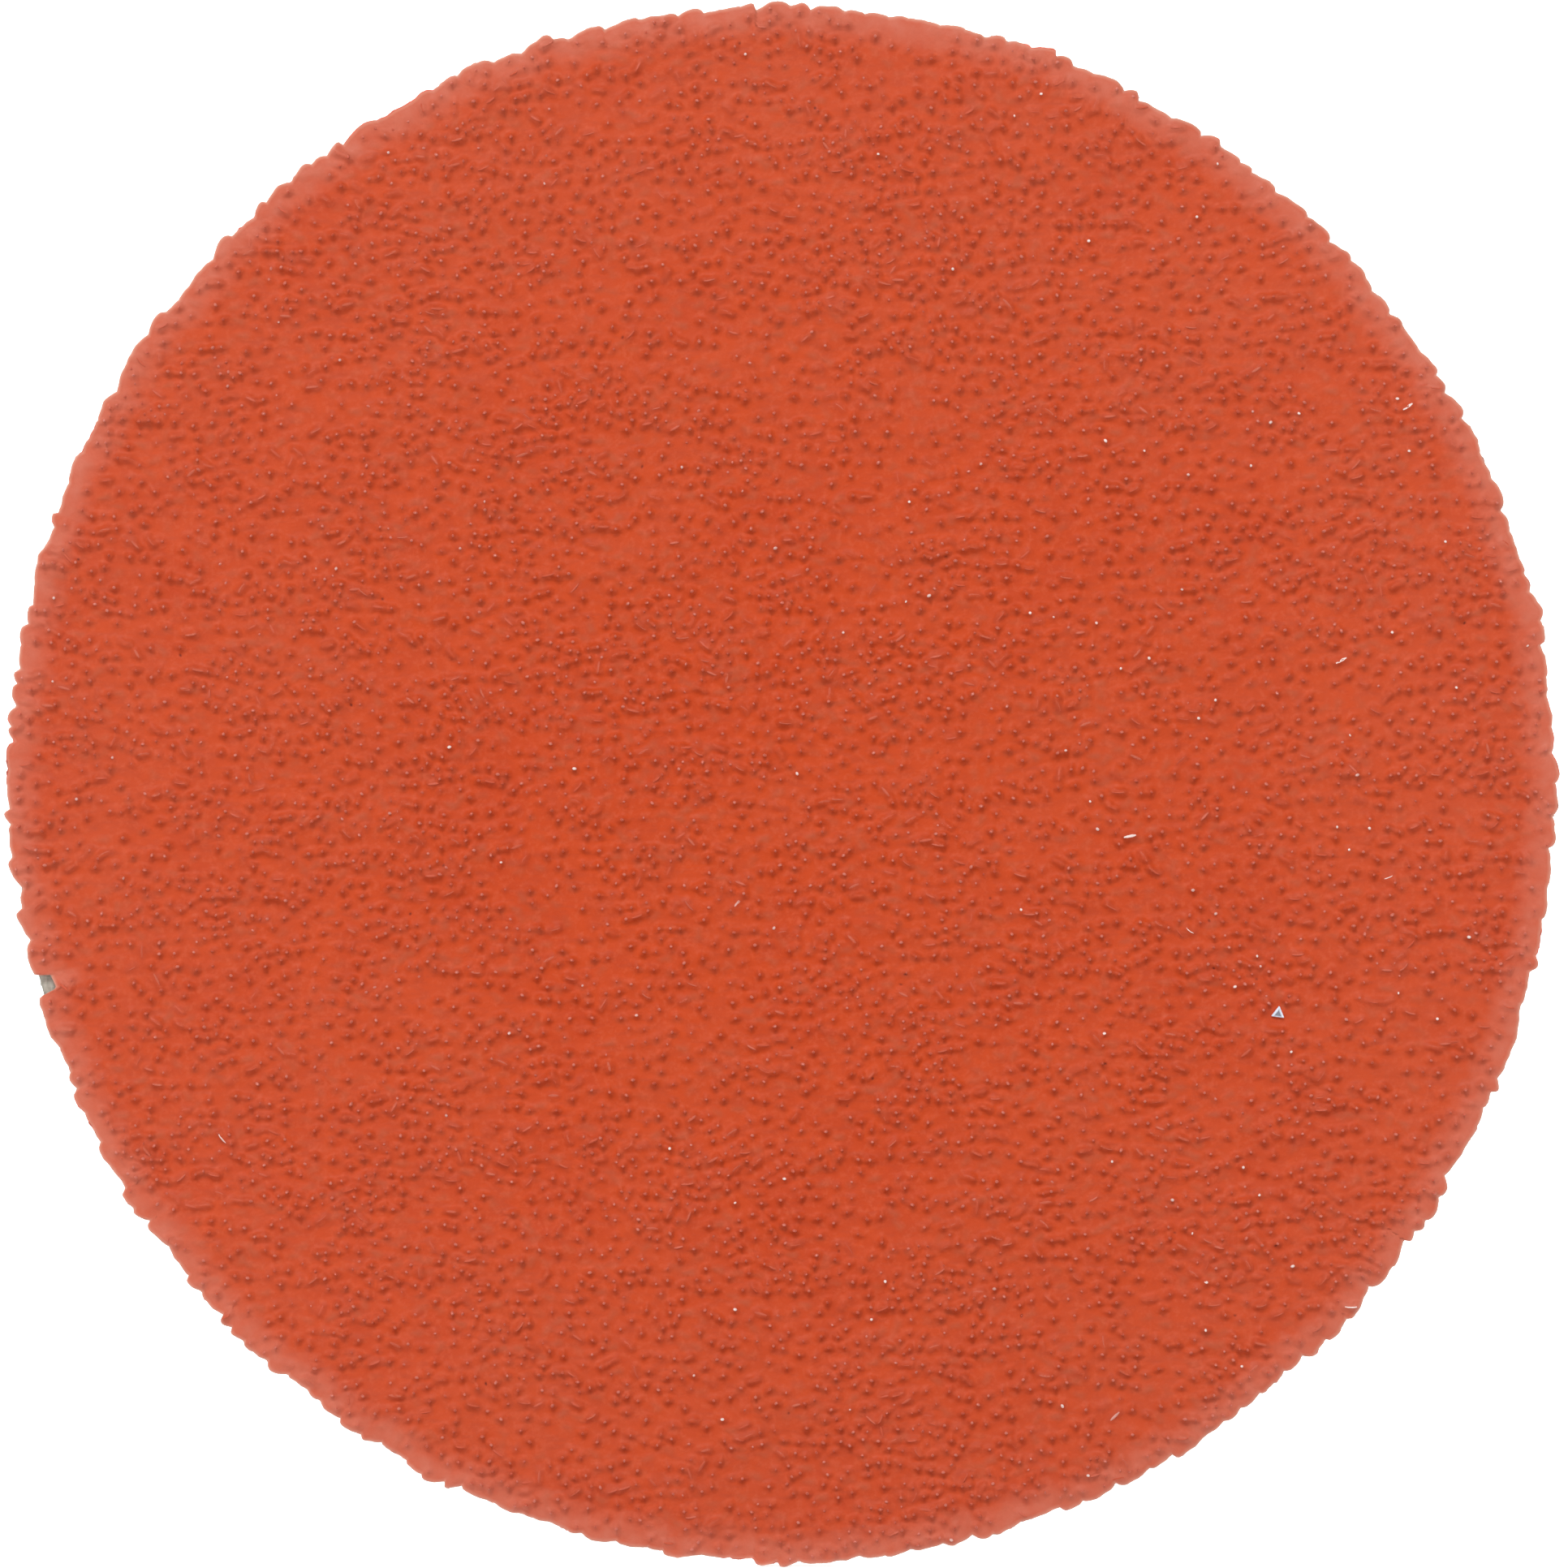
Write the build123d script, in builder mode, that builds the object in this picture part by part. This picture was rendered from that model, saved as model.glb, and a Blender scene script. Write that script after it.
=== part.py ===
from build123d import *
import math
import os
import random

# Coated abrasive disc, 3 inch (76 mm), with a threaded plastic button on its back.
# The disc's axis is Y. The abrasive face looks along -Y, the button stands out along +Y.
# The origin is on the axis, in the plane of the back cloth that lies on a backing pad.

# Driving dimensions, in millimetres
disc_radius = 38.1  # mean radius of the coated face
cloth_radius = 37.75  # the cloth plies are cut to a true circle, the brittle coats overhang it

back_cloth_thickness = 0.6
laminate_thickness = 0.1
face_cloth_thickness = 0.6
make_coat_thickness = 0.12
size_coat_thickness = 0.16
supersize_coat_thickness = 0.05

# Rim of the coats, chipped into scallops when the disc is punched out of the web
scallop_pitch = 1.33
scallop_spread = 0.5  # a scallop is this share longer or shorter than the pitch
notch_scatter = 0.09  # standard deviation of the notches' radius
scallop_rise = (0.03, 0.32)  # from the chord between two notches to the scallop's crest
oval_rise = 0.14  # the web is pulled while it is punched, so the rim is a little oval
oval_angle = 112
chip_angle = 195  # one scallop broke out here and shows the cloth
chip_depth = 0.4
make_coat_inset = 0.12
supersize_coat_inset = 0.04

# Shaped ceramic grain: triangular platelets
grain_side = 0.66
grain_thickness = 0.16
grain_count = 760
grain_field_radius = 37.0
grain_scatter = 0.42
grain_lean = 9
grain_lift = 0.02  # a leaning grain's foot stays clear of the cloth
edge_up_share = 0.25
loose_grain_radius = 26.9
loose_grain_angle = -25.0
loose_grain_turn = 82
grain_point_width = 0.05  # moulded platelets have blunt points

# Threaded button
press_depth = 0.12  # the hot button sinks this far into the back cloth, and its glue fills that depth
flange_radius = 12.0
flange_clearance = 0.12
flange_height = 1.1  # above the pad seat
flange_rim_height = 0.5
flange_rim_rounding = 0.25
hub_seat_radius = 8.6
relief_radius = 5.0
relief_depth = 0.3
core_radius = 3.2
crest_radius = 4.6
thread_pitch = 3.2
thread_turns = 1.2
thread_crest_width = 0.9
thread_root_width = 1.9
thread_root_depth = 0.6  # the swept thread reaches this far into the core
thread_overshoot = 0.3  # and this far past its crest, before it is turned down
thread_start = 2.1
nose_radius = 2.75
nose_length = 1.0
nose_chamfer = 0.5
gate_radius = 1.2
gate_depth = 0.7

# Levels in front of the pad seat, towards the abrasive face
laminate_level = back_cloth_thickness
face_cloth_level = laminate_level + laminate_thickness
make_coat_level = face_cloth_level + face_cloth_thickness
size_coat_level = make_coat_level + make_coat_thickness
supersize_coat_level = size_coat_level + size_coat_thickness
coat_surface_level = supersize_coat_level + supersize_coat_thickness
grain_height = grain_side * math.sqrt(3) / 2
thread_end = thread_start + thread_turns * thread_pitch
core_end = thread_end + thread_root_width / 2
nose_start = core_end + core_radius - nose_radius
nose_end = nose_start + nose_length + nose_chamfer


def front(level):
    """A plane parallel to the disc, this far in front of the pad seat."""
    return Plane.XZ.offset(level)


def scallops():
    """The coats' rim as (first notch, crest, last notch) of each scallop, each an (angle, radius) pair."""
    rim_random = random.Random(38)
    count = round(2 * math.pi * disc_radius / scallop_pitch)
    lengths = [rim_random.uniform(1 - scallop_spread, 1 + scallop_spread) for _ in range(count)]
    rises = [rim_random.uniform(*scallop_rise) for _ in range(count)]
    scatter = [rim_random.gauss(0, notch_scatter) for _ in range(count)]
    mean_notch = disc_radius - sum(scallop_rise) / 3
    angle, notches = 0.0, []
    for length, wander in zip(lengths, scatter):
        oval = oval_rise * math.cos(2 * math.radians(angle - oval_angle))
        notches.append((angle, mean_notch + oval + wander))
        angle += 360 * length / sum(lengths)
    notches.append((360.0, notches[0][1]))
    lobes = []
    for first, last, rise in zip(notches, notches[1:], rises):
        chipped = first[0] <= chip_angle < last[0]
        crest_rise = -chip_depth if chipped else rise
        crest = ((first[0] + last[0]) / 2, (first[1] + last[1]) / 2 + crest_rise)
        lobes.append((first, crest, last))
    return lobes


def coat(level, thickness, inset):
    """One resin coat: a slab with the scalloped rim, drawn in by the inset."""
    with BuildPart() as slab:
        with BuildSketch(front(level)):
            with BuildLine():
                for lobe in scallops():
                    ThreePointArc(*[polar(radius - inset, angle) for angle, radius in lobe])
            make_face()
        extrude(amount=thickness)
    return slab.part


def polar(radius, angle):
    """A point of a sketch, from its radius and its angle in degrees."""
    return (radius * math.cos(math.radians(angle)), radius * math.sin(math.radians(angle)))


def platelet(foot_width, head_width):
    """A grain on end: a flat-sided platelet that stands on the XZ plane and points along -Y."""
    with BuildPart() as grain:
        with BuildSketch(Plane.YZ):
            with BuildLine():
                Polyline(
                    (0, foot_width / 2),
                    (0, -foot_width / 2),
                    (-grain_height, -head_width / 2),
                    (-grain_height, head_width / 2),
                    close=True,
                )
            make_face()
        extrude(amount=grain_thickness / 2, both=True)
    return grain.part


tip_up = platelet(grain_side, grain_point_width)
edge_up = platelet(grain_point_width, grain_side)

# Places of the grains: an even spiral, shaken, each grain turned and leaned its own way
grain_random = random.Random(984)
tip_up_places, edge_up_places = [], []
golden_angle = 180 * (3 - math.sqrt(5))
for number in range(grain_count):
    radius = grain_field_radius * math.sqrt((number + 0.5) / grain_count)
    x, z = polar(radius, number * golden_angle)
    x += grain_random.uniform(-grain_scatter, grain_scatter)
    z += grain_random.uniform(-grain_scatter, grain_scatter)
    spin = grain_random.uniform(0, 180)
    lean = grain_random.uniform(-grain_lean, grain_lean)
    place = Location((x, -make_coat_level - grain_lift, z), (0, spin, 0)) * Location((0, 0, 0), (0, 0, lean))
    is_edge_up = grain_random.random() < edge_up_share
    (edge_up_places if is_edge_up else tip_up_places).append(place)

with BuildPart() as tip_up_grains:
    with Locations(*tip_up_places):
        add(tip_up)

with BuildPart() as edge_up_grains:
    with Locations(*edge_up_places):
        add(edge_up)

# One grain fell flat on the finished coat and stayed bare
with BuildPart() as loose_grain:
    with BuildSketch(front(coat_surface_level)):
        with Locations(Location(polar(loose_grain_radius, loose_grain_angle))):
            RegularPolygon(grain_height * 2 / 3, 3, rotation=loose_grain_turn)
    extrude(amount=grain_thickness)

# Resin coats, each with a pocket where a grain passes through it
with BuildPart() as make_coat:
    add(coat(make_coat_level, make_coat_thickness, make_coat_inset))
    add([tip_up_grains.part, edge_up_grains.part], mode=Mode.SUBTRACT)

with BuildPart() as size_coat:
    add(coat(size_coat_level, size_coat_thickness, 0))
    add([tip_up_grains.part, edge_up_grains.part], mode=Mode.SUBTRACT)

with BuildPart() as supersize_coat:
    add(coat(supersize_coat_level, supersize_coat_thickness, supersize_coat_inset))
    add([tip_up_grains.part, edge_up_grains.part], mode=Mode.SUBTRACT)

# Cloth plies and the laminating adhesive between them
with BuildPart() as face_cloth:
    with BuildSketch(front(face_cloth_level)):
        Circle(cloth_radius)
    extrude(amount=face_cloth_thickness)

with BuildPart() as laminating_adhesive:
    with BuildSketch(front(laminate_level)):
        Circle(cloth_radius)
    extrude(amount=laminate_thickness)

with BuildPart() as back_cloth:
    with BuildSketch(front(0)):
        Circle(cloth_radius)
    extrude(amount=back_cloth_thickness)
    with BuildSketch(front(0)):
        Circle(flange_radius + flange_clearance)
    extrude(amount=press_depth, mode=Mode.SUBTRACT)

# Hot-melt film that bonds the button, in the bottom of the pressed seat
with BuildPart() as button_adhesive:
    with BuildSketch(front(0)):
        Circle(flange_radius)
    extrude(amount=press_depth)

# Thread: a blunt trapezoid swept up the stud, then turned down to the crest and the lead-in
with BuildPart() as thread:
    with BuildLine():
        rise = thread_turns * thread_pitch
        helix = Helix(thread_pitch, rise, core_radius, center=(0, thread_start, 0), direction=(0, 1, 0))
    start = helix @ 0
    outward = Vector(start.X, 0, start.Z).normalized()
    with BuildSketch(Plane(origin=start, x_dir=outward, z_dir=helix % 0)):
        with BuildLine():
            root_half = thread_root_width / 2
            flank = (root_half - thread_crest_width / 2) / (crest_radius - core_radius)
            reach = crest_radius - core_radius + thread_overshoot
            reach_half = root_half - flank * reach
            Polyline(
                (-thread_root_depth, root_half),
                (0, root_half),
                (reach, reach_half),
                (reach, -reach_half),
                (0, -root_half),
                (-thread_root_depth, -root_half),
                close=True,
            )
        make_face()
    sweep(path=helix, is_frenet=True)
    with BuildSketch(Plane.XY):
        with BuildLine():
            Polyline(
                (0, 0),
                (crest_radius, 0),
                (crest_radius, thread_end - thread_root_width / 2),
                (core_radius, core_end),
                (0, core_end),
                close=True,
            )
        make_face()
    revolve(axis=Axis.Y, mode=Mode.INTERSECT)

# One-piece moulded button: flange, core, thread and plain nose
with BuildPart() as drive_button:
    with BuildSketch(Plane.XY):
        with BuildLine():
            Polyline(
                (0, 0),
                (flange_radius, 0),
                (flange_radius, flange_rim_height),
                (hub_seat_radius, flange_height),
                (relief_radius, flange_height),
                (relief_radius, flange_height - relief_depth),
                (core_radius, flange_height - relief_depth),
                (core_radius, core_end),
                (nose_radius, nose_start),
                (nose_radius, nose_start + nose_length),
                (nose_radius - nose_chamfer, nose_end),
                (gate_radius, nose_end),
                (gate_radius, nose_end - gate_depth),
                (0, nose_end - gate_depth),
                close=True,
            )
        make_face()
    revolve(axis=Axis.Y)
    flange_rim = edges().filter_by(GeomType.CIRCLE).group_by(SortBy.RADIUS)[-1].sort_by(Axis.Y)[-1]
    fillet(flange_rim, flange_rim_rounding)
    add(thread.part)

pieces = {
    "tip_up_grains": tip_up_grains,
    "edge_up_grains": edge_up_grains,
    "loose_grain": loose_grain,
    "supersize_coat": supersize_coat,
    "size_coat": size_coat,
    "make_coat": make_coat,
    "face_cloth": face_cloth,
    "laminating_adhesive": laminating_adhesive,
    "back_cloth": back_cloth,
    "button_adhesive": button_adhesive,
    "drive_button": drive_button,
}

os.makedirs("parts", exist_ok=True)
for name, piece in pieces.items():
    piece.part.label = name
    export_step(piece.part, f"parts/{name}.step", write_pcurves=False)
    print(name, len(piece.part.solids()), "solids", round(piece.part.volume, 2), "mm3")
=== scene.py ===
import math
import random

import bpy
import numpy as np
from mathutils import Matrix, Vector


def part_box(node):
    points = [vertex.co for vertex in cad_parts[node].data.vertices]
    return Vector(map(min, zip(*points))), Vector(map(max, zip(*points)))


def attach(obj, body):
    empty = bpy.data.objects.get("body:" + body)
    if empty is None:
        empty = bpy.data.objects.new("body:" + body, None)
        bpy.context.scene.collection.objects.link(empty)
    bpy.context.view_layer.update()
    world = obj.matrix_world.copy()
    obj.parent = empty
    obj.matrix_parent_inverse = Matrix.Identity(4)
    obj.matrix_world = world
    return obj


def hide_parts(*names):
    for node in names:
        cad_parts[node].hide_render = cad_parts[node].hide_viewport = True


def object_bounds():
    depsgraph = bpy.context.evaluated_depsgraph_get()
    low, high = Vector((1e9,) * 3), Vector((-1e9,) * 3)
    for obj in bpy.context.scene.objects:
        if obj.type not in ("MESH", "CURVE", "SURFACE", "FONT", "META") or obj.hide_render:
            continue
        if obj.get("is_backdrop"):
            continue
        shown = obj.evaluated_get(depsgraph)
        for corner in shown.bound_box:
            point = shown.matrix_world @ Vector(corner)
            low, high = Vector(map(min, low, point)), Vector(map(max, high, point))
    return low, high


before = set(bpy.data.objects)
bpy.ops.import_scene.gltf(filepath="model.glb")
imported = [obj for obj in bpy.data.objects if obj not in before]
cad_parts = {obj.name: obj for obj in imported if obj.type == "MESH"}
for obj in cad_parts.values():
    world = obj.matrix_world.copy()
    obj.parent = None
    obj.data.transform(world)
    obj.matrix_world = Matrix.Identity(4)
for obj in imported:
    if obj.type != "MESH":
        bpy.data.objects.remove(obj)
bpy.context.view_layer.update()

# sizes below are in millimetres, meshes are scaled to metres when they are made
mm = 0.001
print("frame loaded with", len(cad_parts), "CAD nodes")


# small tools shared by all pieces
def boxOf(node):
    low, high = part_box(node)
    return np.array(low) / mm, np.array(high) / mm


def frontOf(node):
    return boxOf(node)[0][1]


def backOf(node):
    return boxOf(node)[1][1]


def smoothStep(low, high, value):
    share = np.clip((value - low) / (high - low), 0, 1)
    return share * share * (3 - 2 * share)


def meshPiece(name, points, faceGroups, material, attributes=None, bakeMap=None):
    # faceGroups are index arrays, each with one face to a row
    mesh = bpy.data.meshes.new(name)
    mesh.vertices.add(len(points))
    mesh.vertices.foreach_set("co", (np.asarray(points) * mm).astype(np.float32).ravel())
    groups = [np.asarray(group, np.int32) for group in faceGroups if len(group)]
    corners = np.concatenate([group.ravel() for group in groups])
    sides = np.concatenate([np.full(len(group), group.shape[1]) for group in groups])
    starts = np.concatenate([[0], np.cumsum(sides)[:-1]]).astype(np.int32)
    mesh.loops.add(len(corners))
    mesh.loops.foreach_set("vertex_index", corners)
    mesh.polygons.add(len(starts))
    mesh.polygons.foreach_set("loop_start", starts)
    mesh.update(calc_edges=True)
    mesh.polygons.foreach_set("use_smooth", np.ones(len(starts), bool))
    for label, values in (attributes or {}).items():
        layer = mesh.attributes.new(label, "FLOAT", "POINT")
        layer.data.foreach_set("value", np.asarray(values, np.float32))
    if bakeMap is not None:
        layer = mesh.uv_layers.new(name="OFBake")
        layer.data.foreach_set("uv", np.asarray(bakeMap, np.float32)[corners].ravel())
    mesh.validate()
    piece = bpy.data.objects.new(name, mesh)
    bpy.context.scene.collection.objects.link(piece)
    piece.data.materials.append(material)
    return piece


def ringDisc(ringCount):
    # points of a unit disc in rings of 6, 12, 18 and so on, and the triangles between them
    radius = [np.zeros(1)]
    angle = [np.zeros(1)]
    triangles = []
    inner = np.zeros(1, int)
    start = 1
    for ring in range(1, ringCount + 1):
        step = np.arange(6 * ring)
        outer = start + step
        following = np.roll(outer, -1)
        side = step // ring
        along = step % ring
        nearest = inner[(side * (ring - 1) + along) % len(inner)]
        triangles.append(np.stack([outer, following, nearest], 1))
        if ring > 1:
            whole = along < ring - 1
            nextInner = inner[(side * (ring - 1) + along + 1) % len(inner)]
            triangles.append(np.stack([nearest, following, nextInner], 1)[whole])
        radius.append(np.full(6 * ring, ring / ringCount))
        angle.append(2 * math.pi * step / (6 * ring))
        inner = outer
        start += 6 * ring
    return np.concatenate(radius), np.concatenate(angle), np.concatenate(triangles)


def bandFaces(firstRing, lastRing):
    # quads between two closed rings with the same number of points
    return np.stack([firstRing, lastRing, np.roll(lastRing, -1), np.roll(firstRing, -1)], 1)


def stackFaces(ringCount, perRing):
    # rings of points stacked one on another and closed by a fan at either end
    # the middles of the two fans are the last two points
    rings = [np.arange(perRing) + number * perRing for number in range(ringCount)]
    bands = np.concatenate([bandFaces(first, last) for first, last in zip(rings, rings[1:])])
    middle = np.full(perRing, ringCount * perRing)
    caps = np.concatenate([np.stack([rings[0], np.roll(rings[0], -1), middle], 1),
                           np.stack([rings[-1], middle + 1, np.roll(rings[-1], -1)], 1)])
    return [bands, caps]


def onCircle(radius, level, angle):
    # points at these radii and angles, this far in front of the pad seat
    return np.stack([radius * np.cos(angle), -level * np.ones(len(angle)), radius * np.sin(angle)], 1)


def coarseNoise(seed, sizeX, sizeZ, step=0.2, reach=40.0):
    # a smooth random field over the disc, with a spread of 1, and features of about these sizes
    count = int(2 * reach / step)
    values = np.random.default_rng(seed).standard_normal((count, count))
    across = np.fft.fftfreq(count, step)
    gain = np.exp(-2 * (math.pi * sizeX * across[None, :]) ** 2)
    gain = gain * np.exp(-2 * (math.pi * sizeZ * across[:, None]) ** 2)
    values = np.fft.ifft2(np.fft.fft2(values) * gain).real
    return (values / values.std()).astype(np.float32), step, reach


def sampleField(field, x, z):
    values, step, reach = field
    column = np.clip((np.asarray(x) + reach) / step, 0, values.shape[1] - 1.001)
    row = np.clip((np.asarray(z) + reach) / step, 0, values.shape[0] - 1.001)
    c = column.astype(int)
    r = row.astype(int)
    u = column - c
    v = row - r
    low = values[r, c] * (1 - u) + values[r, c + 1] * u
    high = values[r + 1, c] * (1 - u) + values[r + 1, c + 1] * u
    return low * (1 - v) + high * v


def softened(values, spreadX, spreadZ):
    # a Gaussian blur, with its spread given in cells
    for axis, spread in ((1, spreadX), (0, spreadZ)):
        reach = int(math.ceil(3 * spread))
        weights = np.exp(-0.5 * (np.arange(-reach, reach + 1) / spread) ** 2)
        weights = (weights / weights.sum()).astype(np.float32)
        total = np.zeros_like(values)
        for shift, weight in zip(range(-reach, reach + 1), weights):
            total += weight * np.roll(values, shift, axis)
        values = total
    return values


# small tools shared by all materials
def startMaterial(name):
    material = bpy.data.materials.new(name)
    material.use_nodes = True
    tree = material.node_tree
    return material, tree, tree.nodes["Principled BSDF"]


def place(tree):
    return addNode(tree, "ShaderNodeTexCoord").outputs["Object"]


def addNode(tree, kind, inputs=None, **options):
    made = tree.nodes.new(kind)
    for option, value in options.items():
        setattr(made, option, value)
    for key, value in (inputs or {}).items():
        if isinstance(value, bpy.types.NodeSocket):
            tree.links.new(value, made.inputs[key])
        else:
            made.inputs[key].default_value = value
    return made


def mapped(tree, where, option, value):
    return addNode(tree, "ShaderNodeMapping", {"Vector": where, option: value}).outputs["Vector"]


def noise(tree, where, size, detail=3.0, roughness=0.5):
    # size is that of a feature, in millimetres
    made = addNode(tree, "ShaderNodeTexNoise",
                   {"Vector": where, "Scale": 1000 / size, "Detail": detail, "Roughness": roughness})
    return made.outputs["Fac"]


def remap(tree, value, low, high, toLow=0.0, toHigh=1.0):
    made = addNode(tree, "ShaderNodeMapRange",
                   {"Value": value, "From Min": low, "From Max": high,
                    "To Min": toLow, "To Max": toHigh})
    return made.outputs["Result"]


def mixColour(tree, share, first, second):
    made = addNode(tree, "ShaderNodeMix", data_type="RGBA")
    for index, value in ((0, share), (6, first), (7, second)):
        if isinstance(value, bpy.types.NodeSocket):
            tree.links.new(value, made.inputs[index])
        else:
            made.inputs[index].default_value = (*value, 1) if index else value
    return made.outputs[2]


def maths(tree, operation, *values):
    made = addNode(tree, "ShaderNodeMath", operation=operation)
    for index, value in enumerate(values):
        if isinstance(value, bpy.types.NodeSocket):
            tree.links.new(value, made.inputs[index])
        else:
            made.inputs[index].default_value = value
    return made.outputs[0]


def attribute(tree, name):
    return addNode(tree, "ShaderNodeAttribute", attribute_name=name).outputs["Fac"]


def bump(tree, height, depth, strength=1.0):
    # depth is in millimetres
    made = addNode(tree, "ShaderNodeBump", {"Height": height, "Distance": depth * mm, "Strength": strength})
    return made.outputs["Normal"]


def connect(tree, shader, **links):
    for name, value in links.items():
        socket = shader.inputs[{"colour": "Base Color", "roughness": "Roughness", "normal": "Normal"}[name]]
        if isinstance(value, bpy.types.NodeSocket):
            tree.links.new(value, socket)
        else:
            socket.default_value = value


# the chipped outline of the resin coats
outline = {
    "meanRadius": 38.1,
    "pitch": 1.33,  # of the scallops
    "spread": 0.5,
    "notchScatter": 0.09,
    "rise": (0.03, 0.32),
    "ovalRise": 0.14,
    "ovalAngle": 112,
    "chipAngle": 195,  # one scallop broke out here
    "chipDepth": 0.78,
    "lean": (0.4, 0.85),  # below 1, a scallop's crest is nearer to its first notch
    "ripple": 0.00595,  # small unevenness along the break
    "rippleWaves": (90, 420, 14),  # the fewest and the most round the rim, and how many are added up
    "chipSteepness": 1.9,
}


def scallops():
    rimRandom = random.Random(38)
    count = round(2 * math.pi * outline["meanRadius"] / outline["pitch"])
    spread = outline["spread"]
    lengths = [rimRandom.uniform(1 - spread, 1 + spread) for _ in range(count)]
    rises = [rimRandom.uniform(*outline["rise"]) for _ in range(count)]
    scatter = [rimRandom.gauss(0, outline["notchScatter"]) for _ in range(count)]
    meanNotch = outline["meanRadius"] - sum(outline["rise"]) / 3
    angle = 0.0
    notches = []
    for length, wander in zip(lengths, scatter):
        oval = outline["ovalRise"] * math.cos(2 * math.radians(angle - outline["ovalAngle"]))
        notches.append((angle, meanNotch + oval + wander))
        angle += 360 * length / sum(lengths)
    notches.append((360.0, notches[0][1]))
    lobes = []
    for first, last, rise in zip(notches, notches[1:], rises):
        chipped = first[0] <= outline["chipAngle"] < last[0]
        lobes.append((first, last, -outline["chipDepth"] if chipped else rise))
    return lobes


lobes = scallops()
lobeStarts = np.array([lobe[0][0] for lobe in lobes])
lobeEnds = np.array([lobe[1][0] for lobe in lobes])
notchRadii = np.array([lobe[0][1] for lobe in lobes])
nextNotchRadii = np.array([lobe[1][1] for lobe in lobes])
lobeRises = np.array([lobe[2] for lobe in lobes])
leanRandom = np.random.default_rng(51)
lobeLeans = leanRandom.uniform(*outline["lean"], len(lobes))
lobeLeans[lobeRises < 0] = 1.0
rippleWaves = leanRandom.integers(*outline["rippleWaves"])
ripplePhases = leanRandom.uniform(0, 2 * math.pi, len(rippleWaves))


def outlineRadius(angle):
    # radius of the coats' rim at each angle, in radians
    degrees = np.degrees(angle) % 360
    lobe = np.clip(np.searchsorted(lobeStarts, degrees, side="right") - 1, 0, len(lobes) - 1)
    along = (degrees - lobeStarts[lobe]) / (lobeEnds[lobe] - lobeStarts[lobe])
    crest = np.clip(along, 0, 1) ** lobeLeans[lobe]
    radius = notchRadii[lobe] * (1 - along) + nextNotchRadii[lobe] * along
    rise = 4 * crest * (1 - crest)
    chip = np.minimum(outline["chipSteepness"] * rise, 1.0)
    radius = radius + lobeRises[lobe] * np.where(lobeRises[lobe] < 0, chip, rise)
    for wave, phase in zip(rippleWaves, ripplePhases):
        radius = radius + outline["ripple"] * np.sin(wave * np.asarray(angle) + phase)
    return radius


# places of the shaped grains
looseLow, looseHigh = boxOf("loose_grain")
looseX = (looseLow[0] + looseHigh[0]) / 2
looseZ = (looseLow[2] + looseHigh[2]) / 2
grainField = {
    "tries": 60000,
    "minGap": (0.32, 0.76),  # between neighbours, in a crowded and in a bare patch
    "crowding": (0.36, 0.66),  # strength of the broad and of the fine streaks
    "crowdingGain": 1.7,
    "crowdingShift": 0.35,
    "reach": 38.1,
    "rimGap": 0.3,
    "looseGap": 0.62,  # round the loose grain's middle
    "spinScatter": 0.62,  # most platelets stand across the disc, in radians
    "streakSize": (1.5, 0.8),  # along X and along Z
    "fineStreakSize": (0.6, 0.26),
    "ridgeShare": 0.09,
    "flatShare": 0.14,  # grains that lie flat under the coats
    "tipRise": (0.08, 0.29),  # above the coat's surface
    "ridgeRise": (0.06, 0.21),
    "side": 0.66,
    "thickness": 0.16,
    "height": 0.5716,
}


def scatterGrains():
    rng = random.Random(2718)
    crowding = coarseNoise(31, *grainField["streakSize"])
    fineCrowding = coarseNoise(32, *grainField["fineStreakSize"])
    broadShare, fineShare = grainField["crowding"]
    low, high = grainField["minGap"]
    cellSize = high
    cells = {}
    grains = []
    for _ in range(grainField["tries"]):
        radius = grainField["reach"] * math.sqrt(rng.random())
        turn = rng.uniform(0, 2 * math.pi)
        x = radius * math.cos(turn)
        z = radius * math.sin(turn)
        spin = rng.gauss(0, grainField["spinScatter"])
        kind = rng.random()
        size = rng.random()
        tilt = rng.uniform(-1, 1)
        dense = broadShare * float(sampleField(crowding, x, z))
        dense += fineShare * float(sampleField(fineCrowding, x, z))
        steepness = math.exp(grainField["crowdingGain"] * dense + grainField["crowdingShift"])
        gap = low + (high - low) / (1 + steepness)
        column = int(x // cellSize)
        row = int(z // cellSize)
        around = [(column + i, row + j) for i in (-1, 0, 1) for j in (-1, 0, 1)]
        near = [other for cell in around for other in cells.get(cell, ())]
        if any((other[0] - x) ** 2 + (other[1] - z) ** 2 < gap * gap for other in near):
            continue
        grain = (x, z, spin, kind, size, tilt)
        cells.setdefault((column, row), []).append(grain)
        grains.append(grain)
    return np.array(grains)


grains = scatterGrains()
fromRim = outlineRadius(np.arctan2(grains[:, 1], grains[:, 0])) - np.hypot(grains[:, 0], grains[:, 1])
fromLoose = np.hypot(grains[:, 0] - looseX, grains[:, 1] - looseZ)
grains = grains[(fromRim > grainField["rimGap"]) & (fromLoose > grainField["looseGap"])]
isFlat = grains[:, 3] < grainField["flatShare"]
isRidge = ~isFlat & (grains[:, 3] < grainField["flatShare"] + grainField["ridgeShare"])
isTip = ~isFlat & ~isRidge
print("grains scattered:", isTip.sum(), "tip up,", isRidge.sum(), "edge up,", isFlat.sum(), "flat")

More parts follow.
